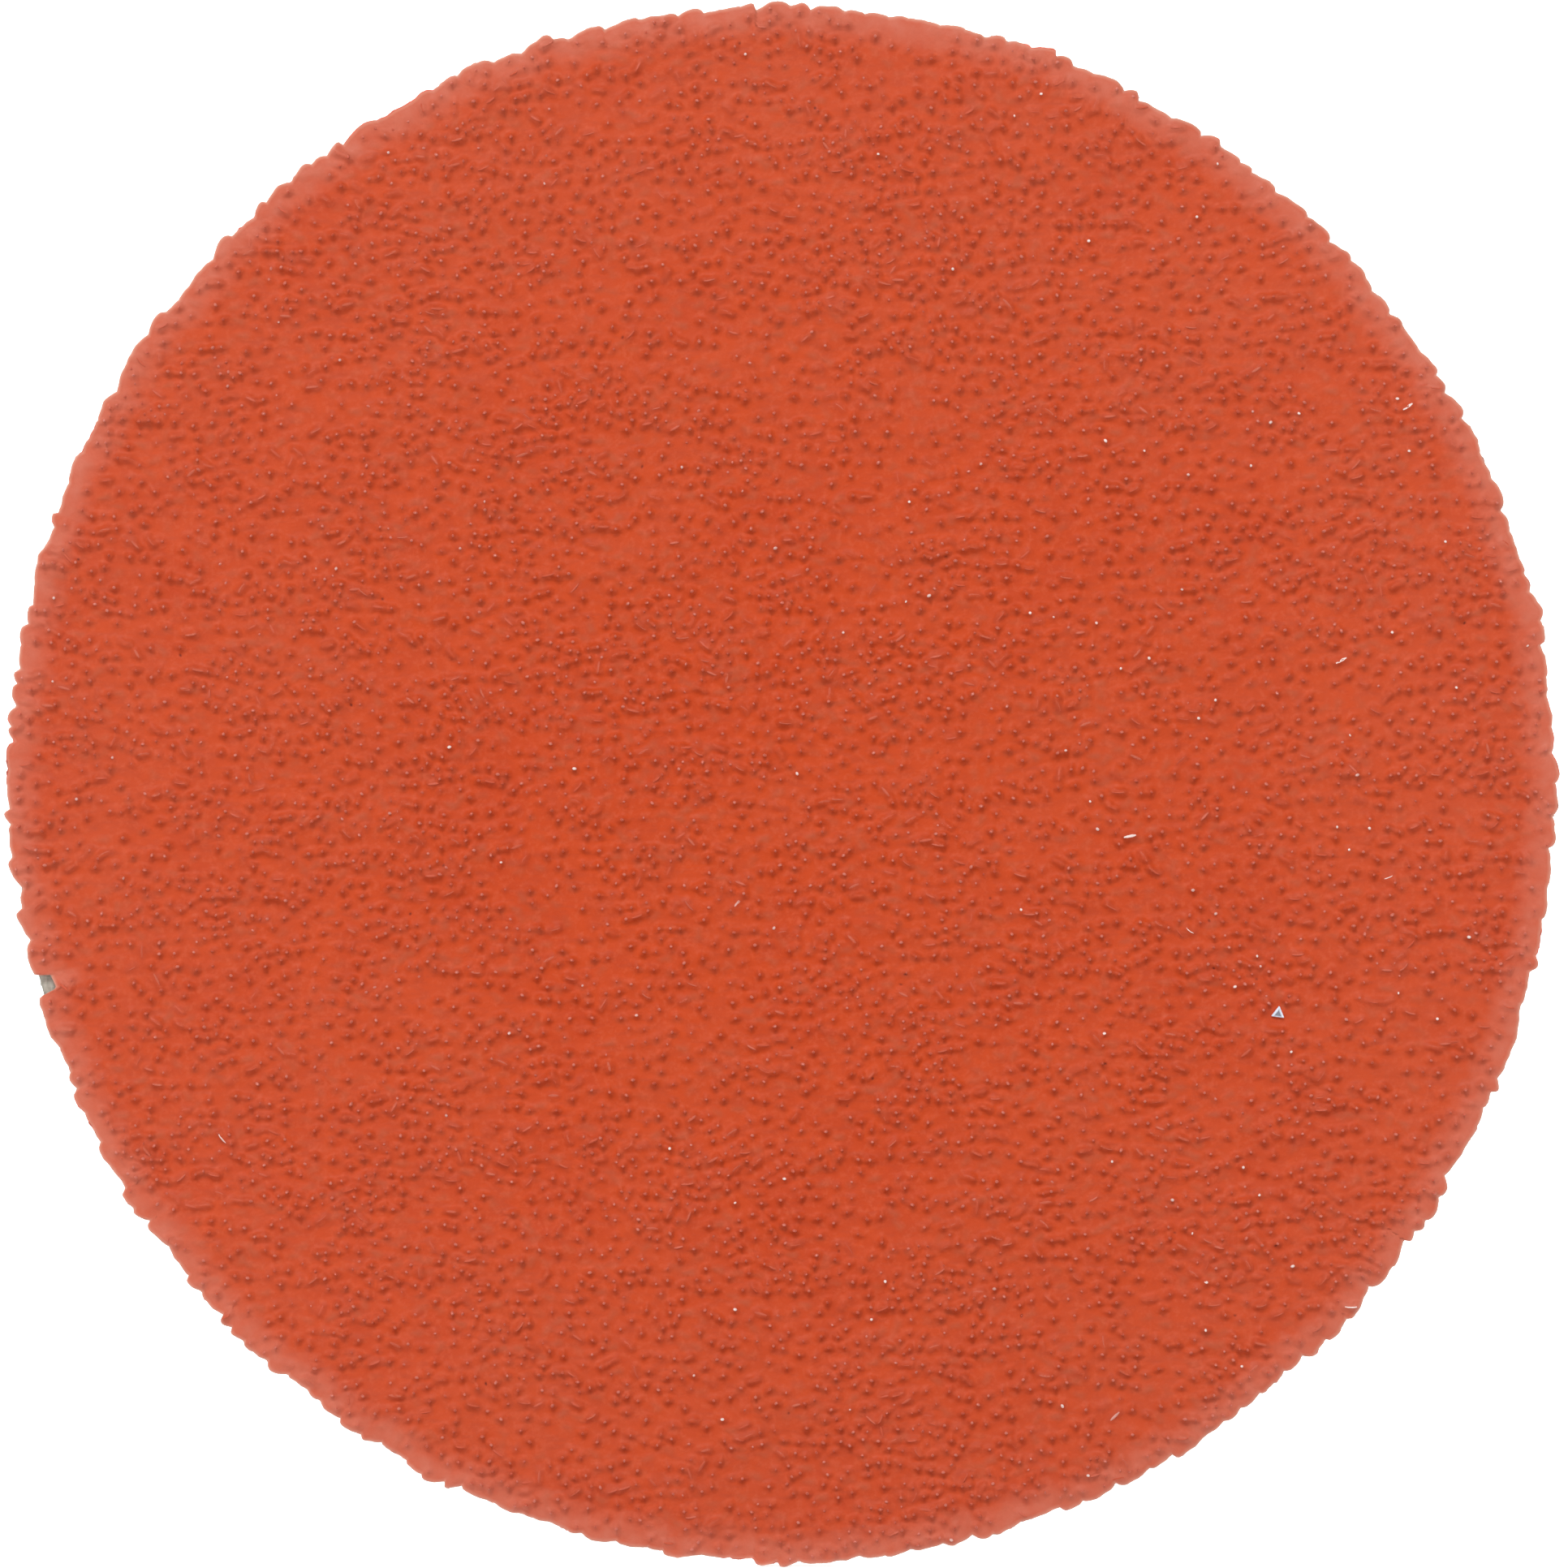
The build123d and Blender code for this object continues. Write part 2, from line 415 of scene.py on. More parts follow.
# the coated face: resin skin over all grains
coatedFace = {
    "cell": 0.03,  # of the height grid
    "gridMargin": 0.9,
    "rings": 372,
    "window": 0.66,  # half the side of the square that a grain can raise
    "risePower": 0.8,
    "tipSkirt": (0.34, 0.28),  # the resin's skirt, along and across the grain
    "ridgeSkirt": (0.24, 0.3),
    "ridgeHalfLength": 0.27,
    "ridgeLengths": (0.75, 0.35),  # the least, and how much a tilt adds, as shares of that
    "ridgeSlope": 0.45,
    "unevenSkirt": (0.16, 0.14),
    "markFrom": (0.1, 0.7),  # where the darker colour round a grain begins and is full: partly thicker resin, partly painted shade
    "leaningFrom": 0.35,  # tilt at which a platelet's flank shows through
    "flankHalf": (0.34, 0.17),
    "flatRise": (0.012, 0.03),  # over a submerged platelet: the least, and more for a big one
    "flatStretch": (0.62, 1.3),
    "flatCorners": 0.06,
    "flatEdge": (0.08, 0.28),
    "patchSpread": (3.5, 2.0),  # in cells, as are the next three
    "softening": (1.25, 1.25),
    "moundSpread": (9.0, 4.0),
    "swellSpread": (26.0, 11.0),
    "moundShare": 0.85,  # resin between crowded grains
    "swellShare": 0.8,
    "linkReach": 0.72,  # resin bridges neighbours up to this far apart
    "linkSlope": 0.45,  # when they stand about side by side
    "linkChance": 0.75,
    "linkCandidates": 60,
    "linkShare": 0.66,  # height of a bridge over that of the lower neighbour
    "linkWidth": 0.25,
    "bellShare": 0.75,
    "skirtPower": 1.5,  # above 1, the skirt is hollow
    "undulation": 0.036,
    "smallUndulation": 0.3,  # as a share of the larger one
    "thinnest": 0.016,
    "looseClearing": (0.35, 0.8),  # the skin is low under the loose grain
    "lipRound": 0.11,
    "lipDrop": 0.06,
    "borderDrop": 0.03,
    "borderWidth": 0.5,
    "pinholeCount": 46,
    "pinholeDepth": 0.09,
    "pinholeStrength": (0.45, 1.0),
    "rimReflectionWidth": 2.4,
    "innerRimReflection": 0.16,
    "lipTint": 0.6,
    "lipTintWidth": 0.16,
    "wall": ((0.35, -0.004, 0.006), (0.7, 0.012, 0.012), (1.0, 0.03, 0.01)),  # depth share, inset, jaggedness
    "backInset": 1.5,
    "stretchWidth": 3.0,  # outer zone whose points follow the outline
}
surfaceLevel = -frontOf("supersize_coat")
skinBack = -backOf("supersize_coat") - 0.02  # a little into the coat below
meanRim = outline["meanRadius"]
ringStep = meanRim / coatedFace["rings"]


def ridgeHalf(tilt):
    least, more = coatedFace["ridgeLengths"]
    return coatedFace["ridgeHalfLength"] * (least + more * np.abs(tilt))


def linkedGrains():
    # pairs of neighbours that stand about side by side across the disc
    standing = np.flatnonzero(~isFlat)
    order = standing[np.argsort(grains[standing, 0])]
    chance = random.Random(55)
    reach = coatedFace["linkReach"]
    for position, first in enumerate(order):
        for last in order[position + 1:position + coatedFace["linkCandidates"]]:
            gapX = grains[last, 0] - grains[first, 0]
            gapZ = abs(grains[last, 1] - grains[first, 1])
            if gapX > reach:
                break
            sideBySide = gapZ < coatedFace["linkSlope"] * gapX and gapX + gapZ < reach
            if sideBySide and chance.random() < coatedFace["linkChance"]:
                yield first, last


def bellOf(s):
    return np.maximum(1 - s * s, 0) ** 2


def heightGrid():
    cell = coatedFace["cell"]
    reach = meanRim + coatedFace["gridMargin"]
    count = int(2 * reach / cell) + 1
    axis = (np.arange(count) * cell - reach).astype(np.float32)
    cubes, grainShadeMark, patchMark = np.zeros((3, count, count), np.float32)
    riseLimits = np.where(isRidge[:, None], grainField["ridgeRise"], grainField["tipRise"])
    rises = riseLimits[:, 0] + (riseLimits[:, 1] - riseLimits[:, 0]) * grains[:, 4] ** coatedFace["risePower"]

    def near(x, z, window):
        # the cells round a place, and how far they are from it
        i0 = max(int((x - window + reach) / cell), 0)
        i1 = int((x + window + reach) / cell) + 1
        j0 = max(int((z - window + reach) / cell), 0)
        j1 = int((z + window + reach) / cell) + 1
        return (slice(j0, j1), slice(i0, i1)), axis[None, i0:i1] - x, axis[j0:j1, None] - z

    for number, (x, z, spin, _, size, tilt) in enumerate(grains):
        part, dx, dz = near(x, z, coatedFace["window"])
        along = dx * math.cos(spin) + dz * math.sin(spin)
        across = dz * math.cos(spin) - dx * math.sin(spin)
        bearing = np.arctan2(across, along)
        if isFlat[number]:
            # a submerged platelet, hardly raised
            stretchAlong, stretchAcross = coatedFace["flatStretch"]
            edge = np.hypot(along * stretchAlong, across * stretchAcross)
            edge = edge + coatedFace["flatCorners"] * np.cos(3 * bearing)
            share = 1 - smoothStep(*coatedFace["flatEdge"], edge)
            least, more = coatedFace["flatRise"]
            cubes[part] += (least + more * size) ** 3 * share
            patchMark[part] = np.maximum(patchMark[part], share * (0.5 + 0.5 * size))
            continue
        if isRidge[number]:
            halfLength = ridgeHalf(tilt)
            past = np.maximum(np.abs(along) - halfLength, 0) / coatedFace["ridgeSkirt"][0]
            s = np.sqrt(past ** 2 + (across / coatedFace["ridgeSkirt"][1]) ** 2)
            rise = rises[number] * (1 + coatedFace["ridgeSlope"] * tilt * np.clip(along / halfLength, -1, 1))
        else:
            s = np.sqrt((along / coatedFace["tipSkirt"][0]) ** 2 + (across / coatedFace["tipSkirt"][1]) ** 2)
            rise = rises[number]
        # each skirt has its own uneven outline
        twoSided, threeSided = coatedFace["unevenSkirt"]
        uneven = twoSided * np.cos(2 * bearing + 20 * size) + threeSided * np.cos(3 * bearing + 30 * tilt)
        s = s * (1 + uneven)
        fall = np.maximum(1 - s, 0)
        bellShare = coatedFace["bellShare"]
        shape = bellShare * bellOf(s) + (1 - bellShare) * fall ** coatedFace["skirtPower"]
        cubes[part] += (rise * shape) ** 3
        # the mark for the darker colour round a grain: partly thicker resin, partly painted shade
        grainShadeMark[part] = np.maximum(grainShadeMark[part], smoothStep(*coatedFace["markFrom"], fall))
        if tilt > coatedFace["leaningFrom"] and isTip[number]:
            # the flank of a leaning platelet shows through the resin as a brownish patch
            halfAlong, halfAcross = coatedFace["flankHalf"]
            edge = np.sqrt((along / halfAlong) ** 2 + ((across + halfAcross) / halfAcross) ** 2)
            share = (1 - smoothStep(0.35, 1.0, edge)) * (tilt - 0.2)
            patchMark[part] = np.maximum(patchMark[part], share)
    for first, last in linkedGrains():
        x, z = (grains[first, :2] + grains[last, :2]) / 2
        half = (grains[last, :2] - grains[first, :2]) / 2
        length = math.hypot(*half)
        part, dx, dz = near(x, z, length + coatedFace["linkWidth"])
        along = np.abs(dx * half[0] + dz * half[1]) / length
        across = (dz * half[0] - dx * half[1]) / length
        s = np.hypot(np.maximum(along - length, 0), across) / coatedFace["linkWidth"]
        rise = coatedFace["linkShare"] * min(rises[first], rises[last])
        cubes[part] += (rise * bellOf(s)) ** 3
    height = softened(np.cbrt(cubes), *coatedFace["softening"])
    mounds = softened(height, *coatedFace["moundSpread"])
    swell = softened(mounds, *coatedFace["swellSpread"])
    height = height + coatedFace["moundShare"] * mounds + coatedFace["swellShare"] * swell
    patchMark = softened(patchMark, *coatedFace["patchSpread"])
    return [(values, cell, reach) for values in (height, grainShadeMark, patchMark)]


heightField, grainShadeField, patchField = heightGrid()
undulation = coarseNoise(33, 1.9, 0.9)
smallUndulation = coarseNoise(34, 0.7, 0.32)


def skinLevel(x, z):
    # how far the resin's surface stands in front of the pad seat
    wave = sampleField(undulation, x, z) + coatedFace["smallUndulation"] * sampleField(smallUndulation, x, z)
    lift = sampleField(heightField, x, z) + coatedFace["undulation"] * (wave + 1)
    # low under the loose grain, which lies on top
    lift = lift * smoothStep(*coatedFace["looseClearing"], np.hypot(x - looseX, z - looseZ))
    # never down to the coat below
    thinnest = coatedFace["thinnest"]
    return surfaceLevel + thinnest * np.logaddexp(0, lift / thinnest)


print("resin heights worked out")


def rimStretch(radius, angle):
    # moves the points of the outer zone so that the last ring lies on the outline
    share = smoothStep(meanRim - coatedFace["stretchWidth"], meanRim, radius)
    return radius * (1 + share * (outlineRadius(angle) / meanRim - 1))


def makeSkin(material):
    share, angle, triangles = ringDisc(coatedFace["rings"])
    radius = rimStretch(share * meanRim, angle)
    x = radius * np.cos(angle)
    z = radius * np.sin(angle)

    # the points nearest to a grain's apex move onto it
    inside = isTip & (np.hypot(grains[:, 0], grains[:, 1]) < meanRim - coatedFace["stretchWidth"])
    apexX = grains[inside, 0]
    apexZ = grains[inside, 1]
    ring = np.maximum(np.round(np.hypot(apexX, apexZ) / ringStep).astype(int), 1)
    turn = (np.arctan2(apexZ, apexX) % (2 * math.pi)) / (2 * math.pi)
    step = np.round(turn * 6 * ring).astype(int) % (6 * ring)
    index = 1 + 3 * ring * (ring - 1) + step
    x[index] = apexX
    z[index] = apexZ
    level = skinLevel(x, z)

    # pits in the resin; the material paints them near-black as their shade
    pinhole = np.zeros(len(x))
    pinRandom = np.random.default_rng(77)
    count = coatedFace["pinholeCount"]
    pinRing = np.round(coatedFace["rings"] * np.sqrt(pinRandom.uniform(0.01, 0.93, count))).astype(int)
    pinStep = np.round(pinRandom.uniform(0, 1, count) * (6 * pinRing - 1)).astype(int)
    pinIndex = 1 + 3 * pinRing * (pinRing - 1) + pinStep
    pinhole[pinIndex] = pinRandom.uniform(*coatedFace["pinholeStrength"], count)
    level = level - coatedFace["pinholeDepth"] * pinhole

    # the lip rounds off towards the break
    fromEdge = np.clip(outlineRadius(angle) - radius, 0, None)
    inLip = np.clip(1 - fromEdge / coatedFace["lipRound"], 0, 1)
    level = level - coatedFace["lipDrop"] * (1 - np.sqrt(1 - 0.98 * inLip ** 2))
    level = level - coatedFace["borderDrop"] * smoothStep(0, 1, 1 - fromEdge / coatedFace["borderWidth"])
    # paler towards the rim and faintly across the outer face: painted reflection of the white surroundings
    rim = 1 - smoothStep(0.0, coatedFace["rimReflectionWidth"], fromEdge)
    rim = np.maximum(rim, coatedFace["innerRimReflection"] * (radius / meanRim) ** 2)
    lip = coatedFace["lipTint"] * (1 - smoothStep(0.0, coatedFace["lipTintWidth"], fromEdge))

    points = [np.stack([x, -level, z], 1)]
    edgeCount = 6 * coatedFace["rings"]
    edge = np.arange(len(x) - edgeCount, len(x))
    edgeAngle = angle[edge]
    edgeLevel = level[edge]
    rngEdge = np.random.default_rng(78)
    groups = [triangles]
    previous = edge
    start = len(x)
    for drop, inset, jag in coatedFace["wall"]:
        ringRadius = outlineRadius(edgeAngle) - inset + jag * rngEdge.standard_normal(edgeCount)
        ringLevel = edgeLevel * (1 - drop) + skinBack * drop
        points.append(onCircle(ringRadius, ringLevel, edgeAngle))
        current = start + np.arange(edgeCount)
        groups.append(bandFaces(previous, current))
        previous = current
        start += edgeCount
    # flat back, hidden on the size coat
    points.append(onCircle(meanRim - coatedFace["backInset"], skinBack, edgeAngle))
    current = start + np.arange(edgeCount)
    groups.append(bandFaces(previous, current))
    start += edgeCount
    points.append(np.array([[0, -skinBack, 0]]))
    groups.append(np.stack([current, np.full(edgeCount, start), np.roll(current, -1)], 1))
    points = np.concatenate(points)
    extra = len(points) - len(x)

    attributes = {
        "tip": np.concatenate([sampleField(grainShadeField, x, z), np.zeros(extra)]),
        "patch": np.concatenate([sampleField(patchField, x, z), np.zeros(extra)]),
        "rim": np.concatenate([rim, np.ones(extra)]),
        "lip": np.concatenate([lip, np.zeros(extra)]),
        "pinhole": np.concatenate([pinhole, np.zeros(extra)]),
    }
    # the bake map: the face as seen from the front, its wall in narrow bands round it, the back in a corner
    number = np.arange(len(points))
    bakeScale = 0.485 / (meanRim + 0.6)
    wallRing = np.clip(1 + (number - len(x)) // edgeCount, 0, None)
    outward = 1 + 0.02 / 3 * wallRing
    bakeMap = 0.5 + points[:, [0, 2]] * (bakeScale * outward)[:, None]
    hidden = number >= len(x) + len(coatedFace["wall"]) * edgeCount
    bakeMap[hidden] = (0.5 + points[hidden][:, [0, 2]] * bakeScale) * 0.02
    return meshPiece("coatedFace", points, groups, material, attributes, bakeMap)


resinColours = {
    "base": (0.372, 0.0345, 0.004),
    "drift": (0.382, 0.0435, 0.0085),
    "cloud": (0.410, 0.0425, 0.005),
    "streak": (0.315, 0.038, 0.012),
    "overPlatelet": (0.30, 0.060, 0.026),
    "roundGrainShade": (0.29, 0.040, 0.018),
    "speckle": (0.44, 0.072, 0.028),
    "rim": (0.425, 0.112, 0.070),
    "lip": (0.56, 0.32, 0.24),
    "pinhole": (0.08, 0.008, 0.004),
}


def orangeResin():
    material, tree, shader = startMaterial("orangeGrindingCoat")
    where = place(tree)
    drift = remap(tree, noise(tree, where, 9.0, 2.0), 0.35, 0.65)
    colour = mixColour(tree, drift, resinColours["base"], resinColours["drift"])
    cloud = remap(tree, noise(tree, where, 1.1, 5.0, 0.65), 0.35, 0.65)
    colour = mixColour(tree, cloud, colour, resinColours["cloud"])
    # darker streaks drawn out across the disc
    drawnOut = mapped(tree, where, "Scale", (0.32, 1.0, 1.0))
    streak = remap(tree, noise(tree, drawnOut, 0.42, 3.0, 0.55), 0.5, 0.72, 0.0, 0.6)
    colour = mixColour(tree, streak, colour, resinColours["streak"])
    # thin resin over a submerged platelet looks brownish
    patch = maths(tree, "MULTIPLY", attribute(tree, "patch"), 0.75)
    colour = mixColour(tree, patch, colour, resinColours["overPlatelet"])
    # and round a grain the colour is darker: partly thicker resin, partly painted shade
    tip = maths(tree, "MULTIPLY", attribute(tree, "tip"), 0.32)
    colour = mixColour(tree, tip, colour, resinColours["roundGrainShade"])
    speckle = remap(tree, noise(tree, where, 0.3, 3.0, 0.6), 0.5, 0.72, 0.0, 0.5)
    colour = mixColour(tree, speckle, colour, resinColours["speckle"])
    # paler towards the rim: painted reflection of the white surroundings
    rim = attribute(tree, "rim")
    uneven = remap(tree, noise(tree, where, 0.9, 3.0), 0.3, 0.7, 0.55, 1.0)
    colour = mixColour(tree, maths(tree, "MULTIPLY", rim, uneven), colour, resinColours["rim"])
    colour = mixColour(tree, attribute(tree, "lip"), colour, resinColours["lip"])
    # near-black pinholes: painted shade in the small pits
    colour = mixColour(tree, attribute(tree, "pinhole"), colour, resinColours["pinhole"])
    roughness = remap(tree, noise(tree, where, 0.35, 3.0), 0.3, 0.7, 0.50, 0.66)
    grainy = noise(tree, where, 0.15, 3.0, 0.55)
    connect(tree, shader, colour=colour, roughness=roughness, normal=bump(tree, grainy, 0.035, 0.7))
    shader.inputs["Specular IOR Level"].default_value = 0.15
    return material


skin = makeSkin(orangeResin())
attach(skin, "root")
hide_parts("supersize_coat")
print("coated face made with", len(skin.data.vertices), "points")

# the grains themselves: blunt triangular platelets that break the skin
grainShape = {
    "proud": (0.02, 0.055),  # how far the tops stand out of the skin
    "ridgeProud": (-0.02, 0.022),
    # depth below the top and share of the width, ring by ring; None is the foot
    "tipDepths": ((None, 1), (0.13, 1.2), (0.05, 1.0), (0.014, 0.76), (0.0, 0.42)),
    "ridgeDepths": ((None, 1), (0.1, 1.0), (0.05, 0.96), (0.02, 0.86), (0.005, 0.66), (0.0, 0.35)),
    "facetTilt": (0.0, -0.26),  # mean slope of a top across and up the disc
    "facetScatter": 0.4,
    "facetReach": 0.08,  # a top's slope fades out this far below it
    "paintedGlintShare": 0.024,  # of the tops given a painted glint, more on one side of the disc
    "corners": 8,
    "squareness": 1.08,
    "tipWidth": (0.5, 1.15),
    "tipDepth": 0.85,  # across the platelet, over along it
}
footLevel = -backOf("tip_up_grains")


def grainPiece(name, chosen, ridge, node, material):
    # every platelet is a stack of eight-cornered rings from its foot to its rounded, resin-filmed top
    rng = np.random.default_rng(90 if ridge else 91)
    count = int(chosen.sum())
    x, z, spin, _, size, tilt = grains[chosen].T
    along = np.stack([np.cos(spin), np.sin(spin)], 1)
    across = np.stack([-np.sin(spin), np.cos(spin)], 1)
    half = grainField["thickness"] / 2
    centre = np.stack([x, z], 1)
    if ridge:
        topHalf = ridgeHalf(tilt) + 0.02
        footHalf = np.full(count, 0.04)
        proud = rng.uniform(*grainShape["ridgeProud"], count)
        ends = [centre + sign * along * topHalf[:, None] * 0.85 for sign in (-1, 1)]
        first, last = [skinLevel(end[:, 0], end[:, 1]) + proud for end in ends]
        top = np.maximum((first + last) / 2, skinLevel(x, z) + proud - 0.02)
        slope = np.clip((last - first) / 2, -0.1, 0.1)
        depths = grainShape["ridgeDepths"]
    else:
        topHalf = half * rng.uniform(*grainShape["tipWidth"], count)
        footHalf = np.full(count, grainField["side"] / 2)
        proud = rng.uniform(*grainShape["proud"], count) * (0.6 + 0.8 * size)
        top = skinLevel(x, z) + proud
        slope = np.zeros(count)
        depths = grainShape["tipDepths"]
    facet = np.array(grainShape["facetTilt"]) + grainShape["facetScatter"] * rng.standard_normal((count, 2))
    points = []
    corners = grainShape["corners"]
    for drop, share in depths:
        for corner in range(corners):
            turn = 2 * math.pi * (corner + 0.5) / corners
            if drop is None:
                longHalf = footHalf
                wideHalf = half
            else:
                # a ridge is long and only rounded at its ends, a tip is a small dome
                longHalf = topHalf - half * (1 - share) if ridge else topHalf * share
                wideHalf = half * share if ridge else half * grainShape["tipDepth"] * share
            cosine = float(np.clip(math.cos(turn) * grainShape["squareness"], -1, 1))
            offset = cosine * along * np.asarray(longHalf)[:, None] + math.sin(turn) * across * wideHalf
            spot = centre + offset
            if drop is None:
                level = np.full(count, footLevel)
            else:
                sloped = across * np.sum(across * offset, 1)[:, None] if ridge else offset
                facing = np.sum(facet * sloped, 1)
                level = top + slope * cosine - drop + facing * max(0.0, 1 - drop / grainShape["facetReach"])
            points.append(np.stack([spot[:, 0], -level, spot[:, 1]], 1))
    points = np.stack(points, 1).reshape(-1, 3)
    rings = len(depths)
    perGrain = rings * corners
    base = np.arange(count)[:, None] * perGrain
    quads = []
    for ring in range(rings - 1):
        start = ring * corners
        for corner in range(corners):
            following = (corner + 1) % corners
            quads.append(base + np.array([[start + corner, start + following, start + corners + following,
                                           start + corners + corner]]))
    quads = np.concatenate(quads)
    foot = base + np.arange(corners)[::-1][None]
    cap = base + perGrain - corners + np.arange(corners)[None]
    # painted glints: a whiter colour on a few tops, more of them to the right
    rightward = (x / meanRim + 1) / 2
    chance = rng.random(count)
    paintedGlint = np.clip((grainShape["paintedGlintShare"] * (0.2 + rightward ** 2) - chance) / 0.008 + 0.2, 0, 1)
    tone = rng.random(count) ** 1.6
    attributes = {"paintedGlint": np.repeat(paintedGlint, perGrain), "tone": np.repeat(tone, perGrain)}
    # the bake map: each platelet gets its own square, its rings lie inside one another
    squares = int(math.ceil(math.sqrt(count)))
    column = np.arange(count) % squares
    row = np.arange(count) // squares
    turns = 2 * math.pi * (np.arange(corners) + 0.5) / corners
    circle = np.stack([np.cos(turns), np.sin(turns)], 1)
    nested = np.concatenate([0.5 + 0.44 * circle * (1 - 0.8 * ring / (rings - 1)) for ring in range(rings)])
    bakeMap = (np.stack([column, row], 1)[:, None, :] + nested[None]) / squares
    piece = meshPiece(name, points, [quads, foot, cap], material, attributes, bakeMap.reshape(-1, 2))
    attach(piece, "root")
    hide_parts(node)


def coatedCeramic(name, pale, paler, filmed, roughest, shine):
    material, tree, shader = startMaterial(name)
    where = place(tree)
    tone = attribute(tree, "tone")
    film = remap(tree, noise(tree, where, 0.1, 3.0, 0.6), 0.3, 0.7)
    colour = mixColour(tree, tone, pale, paler)
    colour = mixColour(tree, maths(tree, "MULTIPLY", film, 0.5), colour, filmed)
    # painted glints on a few tops
    colour = mixColour(tree, attribute(tree, "paintedGlint"), colour, (0.66, 0.52, 0.48))
    roughness = remap(tree, film, 0.0, 1.0, roughest - 0.14, roughest)
    connect(tree, shader, colour=colour, roughness=roughness, normal=bump(tree, film, 0.004, 0.5))
    shader.inputs["Specular IOR Level"].default_value = shine
    return material


ceramicTip = coatedCeramic("ceramicTip", (0.38, 0.055, 0.022), (0.48, 0.150, 0.110), (0.38, 0.048, 0.018),
                           0.42, 0.48)
ceramicEdge = coatedCeramic("ceramicEdge", (0.39, 0.050, 0.014), (0.40, 0.085, 0.045), (0.36, 0.042, 0.012),
                            0.64, 0.35)
grainPiece("tipUpGrain", isTip, False, "tip_up_grains", ceramicTip)
grainPiece("edgeUpGrain", isRidge, True, "edge_up_grains", ceramicEdge)
print("ceramic grains made")

# one bare grain that lies on the face
looseGrain = {
    "bevel": 0.03,
    "dish": 0.045,
    "dishDrop": 0.045,
    "rim": 0.6,  # where the dish begins, as a share of the way from the centre
    "turn": 82,
}


def makeLooseGrain():
    back = -looseHigh[1] - 0.02
    front = -looseLow[1]
    reach = grainField["height"] * 2 / 3
    count = 60
    turn = np.arange(count) * 2 * math.pi / count
    corner = (turn - math.radians(looseGrain["turn"])) % (2 * math.pi / 3) - math.pi / 3
    flat = reach * 0.5 / np.cos(corner)
    radius = np.minimum(flat, reach * 0.93)
    rings = []
    bevel = looseGrain["bevel"]
    for share, level in ((0.97, back), (1.0, back + 0.03), (1.0, front - bevel), (0.97, front - 0.3 * bevel),
                         (0.9, front), (0.72, front - 0.004), (looseGrain["rim"], front - 0.012),
                         (0.4, front - 0.8 * looseGrain["dish"]), (0.15, front - looseGrain["dish"])):
        # the dish reaches nearly to the lower side; its dark colour is painted shade, darkest towards the bottom
        sunk = looseGrain["dishDrop"] if share < 0.8 else 0.0
        rings.append(np.stack([looseX + share * radius * np.cos(turn), np.full(count, -level),
                               looseZ - sunk + share * radius * np.sin(turn)], 1))
    middles = [[looseX, -back, looseZ], [looseX, looseGrain["dish"] - front, looseZ - looseGrain["dishDrop"]]]
    points = np.concatenate(rings + [np.array(middles)])
    faces = [group[:, ::-1] for group in stackFaces(len(rings), count)]
    paintedDishShade = np.concatenate([np.repeat([0, 0, 0, 0, 0, 0.1, 0.45, 1, 1], count), [0, 1]])
    piece = meshPiece("looseGrain", points, faces, bareCeramic(), {"paintedDishShade": paintedDishShade})
    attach(piece, "root")
    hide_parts("loose_grain")


def bareCeramic():
    material, tree, shader = startMaterial("bareSilveryCeramic")
    where = place(tree)
    mottle = remap(tree, noise(tree, where, 0.12, 3.0, 0.6), 0.3, 0.7)
    colour = mixColour(tree, mottle, (0.44, 0.47, 0.56), (0.62, 0.65, 0.73))
    # painted shade: the dish and its lower side are dark
    colour = mixColour(tree, attribute(tree, "paintedDishShade"), colour, (0.13, 0.135, 0.17))
    roughness = remap(tree, mottle, 0.0, 1.0, 0.3, 0.5)
    connect(tree, shader, colour=colour, roughness=roughness, normal=bump(tree, mottle, 0.01, 0.5))
    shader.inputs["Specular IOR Level"].default_value = 0.7
    return material


makeLooseGrain()
print("loose grain made")

# the coats under the skin, chipped at their rims
underCoats = {
    "sizeInset": 0.015,
    "makeInset": 0.12,
    "glueRadius": 37.75,
    "jag": 0.022,
    "glueJag": 0.03,
    "faceInset": 1.2,  # the flat faces are fans up to this far from the rim
    "points": 2232,
}


def slab(name, front, back, radiusAt, jag, seed, material, node, layers=4):
    # a thin disc with a broken edge: wall rings between its front and back faces
    rng = np.random.default_rng(seed)
    pointCount = underCoats["points"]
    angle = np.arange(pointCount) * 2 * math.pi / pointCount
    rough = rng.standard_normal((layers, pointCount))
    rough = (rough + np.roll(rough, 1, 1) + np.roll(rough, -1, 1)) / 1.7
    rim = radiusAt(angle)
    layerLevels = front + (back - front) * np.arange(layers) / (layers - 1)
    walls = [onCircle(rim + jag * (row - 0.4), level, angle) for row, level in zip(rough, layerLevels)]
    faceRadius = rim - underCoats["faceInset"]
    points = np.concatenate([onCircle(faceRadius, front, angle), *walls, onCircle(faceRadius, back, angle),
                             [[0, -front, 0], [0, -back, 0]]])
    piece = meshPiece(name, points, stackFaces(layers + 2, pointCount), material)
    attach(piece, "root")
    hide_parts(node)


def brittleResin(name, deep, pale, gloss):
    material, tree, shader = startMaterial(name)
    where = place(tree)
    chip = remap(tree, noise(tree, where, 0.25, 4.0, 0.6), 0.3, 0.7)
    broad = remap(tree, noise(tree, where, 2.2, 3.0), 0.35, 0.65)
    colour = mixColour(tree, chip, deep, pale)
    colour = mixColour(tree, maths(tree, "MULTIPLY", broad, 0.4), colour, pale)
    roughness = remap(tree, chip, 0.0, 1.0, gloss, gloss + 0.25)
    connect(tree, shader, colour=colour, roughness=roughness, normal=bump(tree, chip, 0.03, 0.6))
    return material


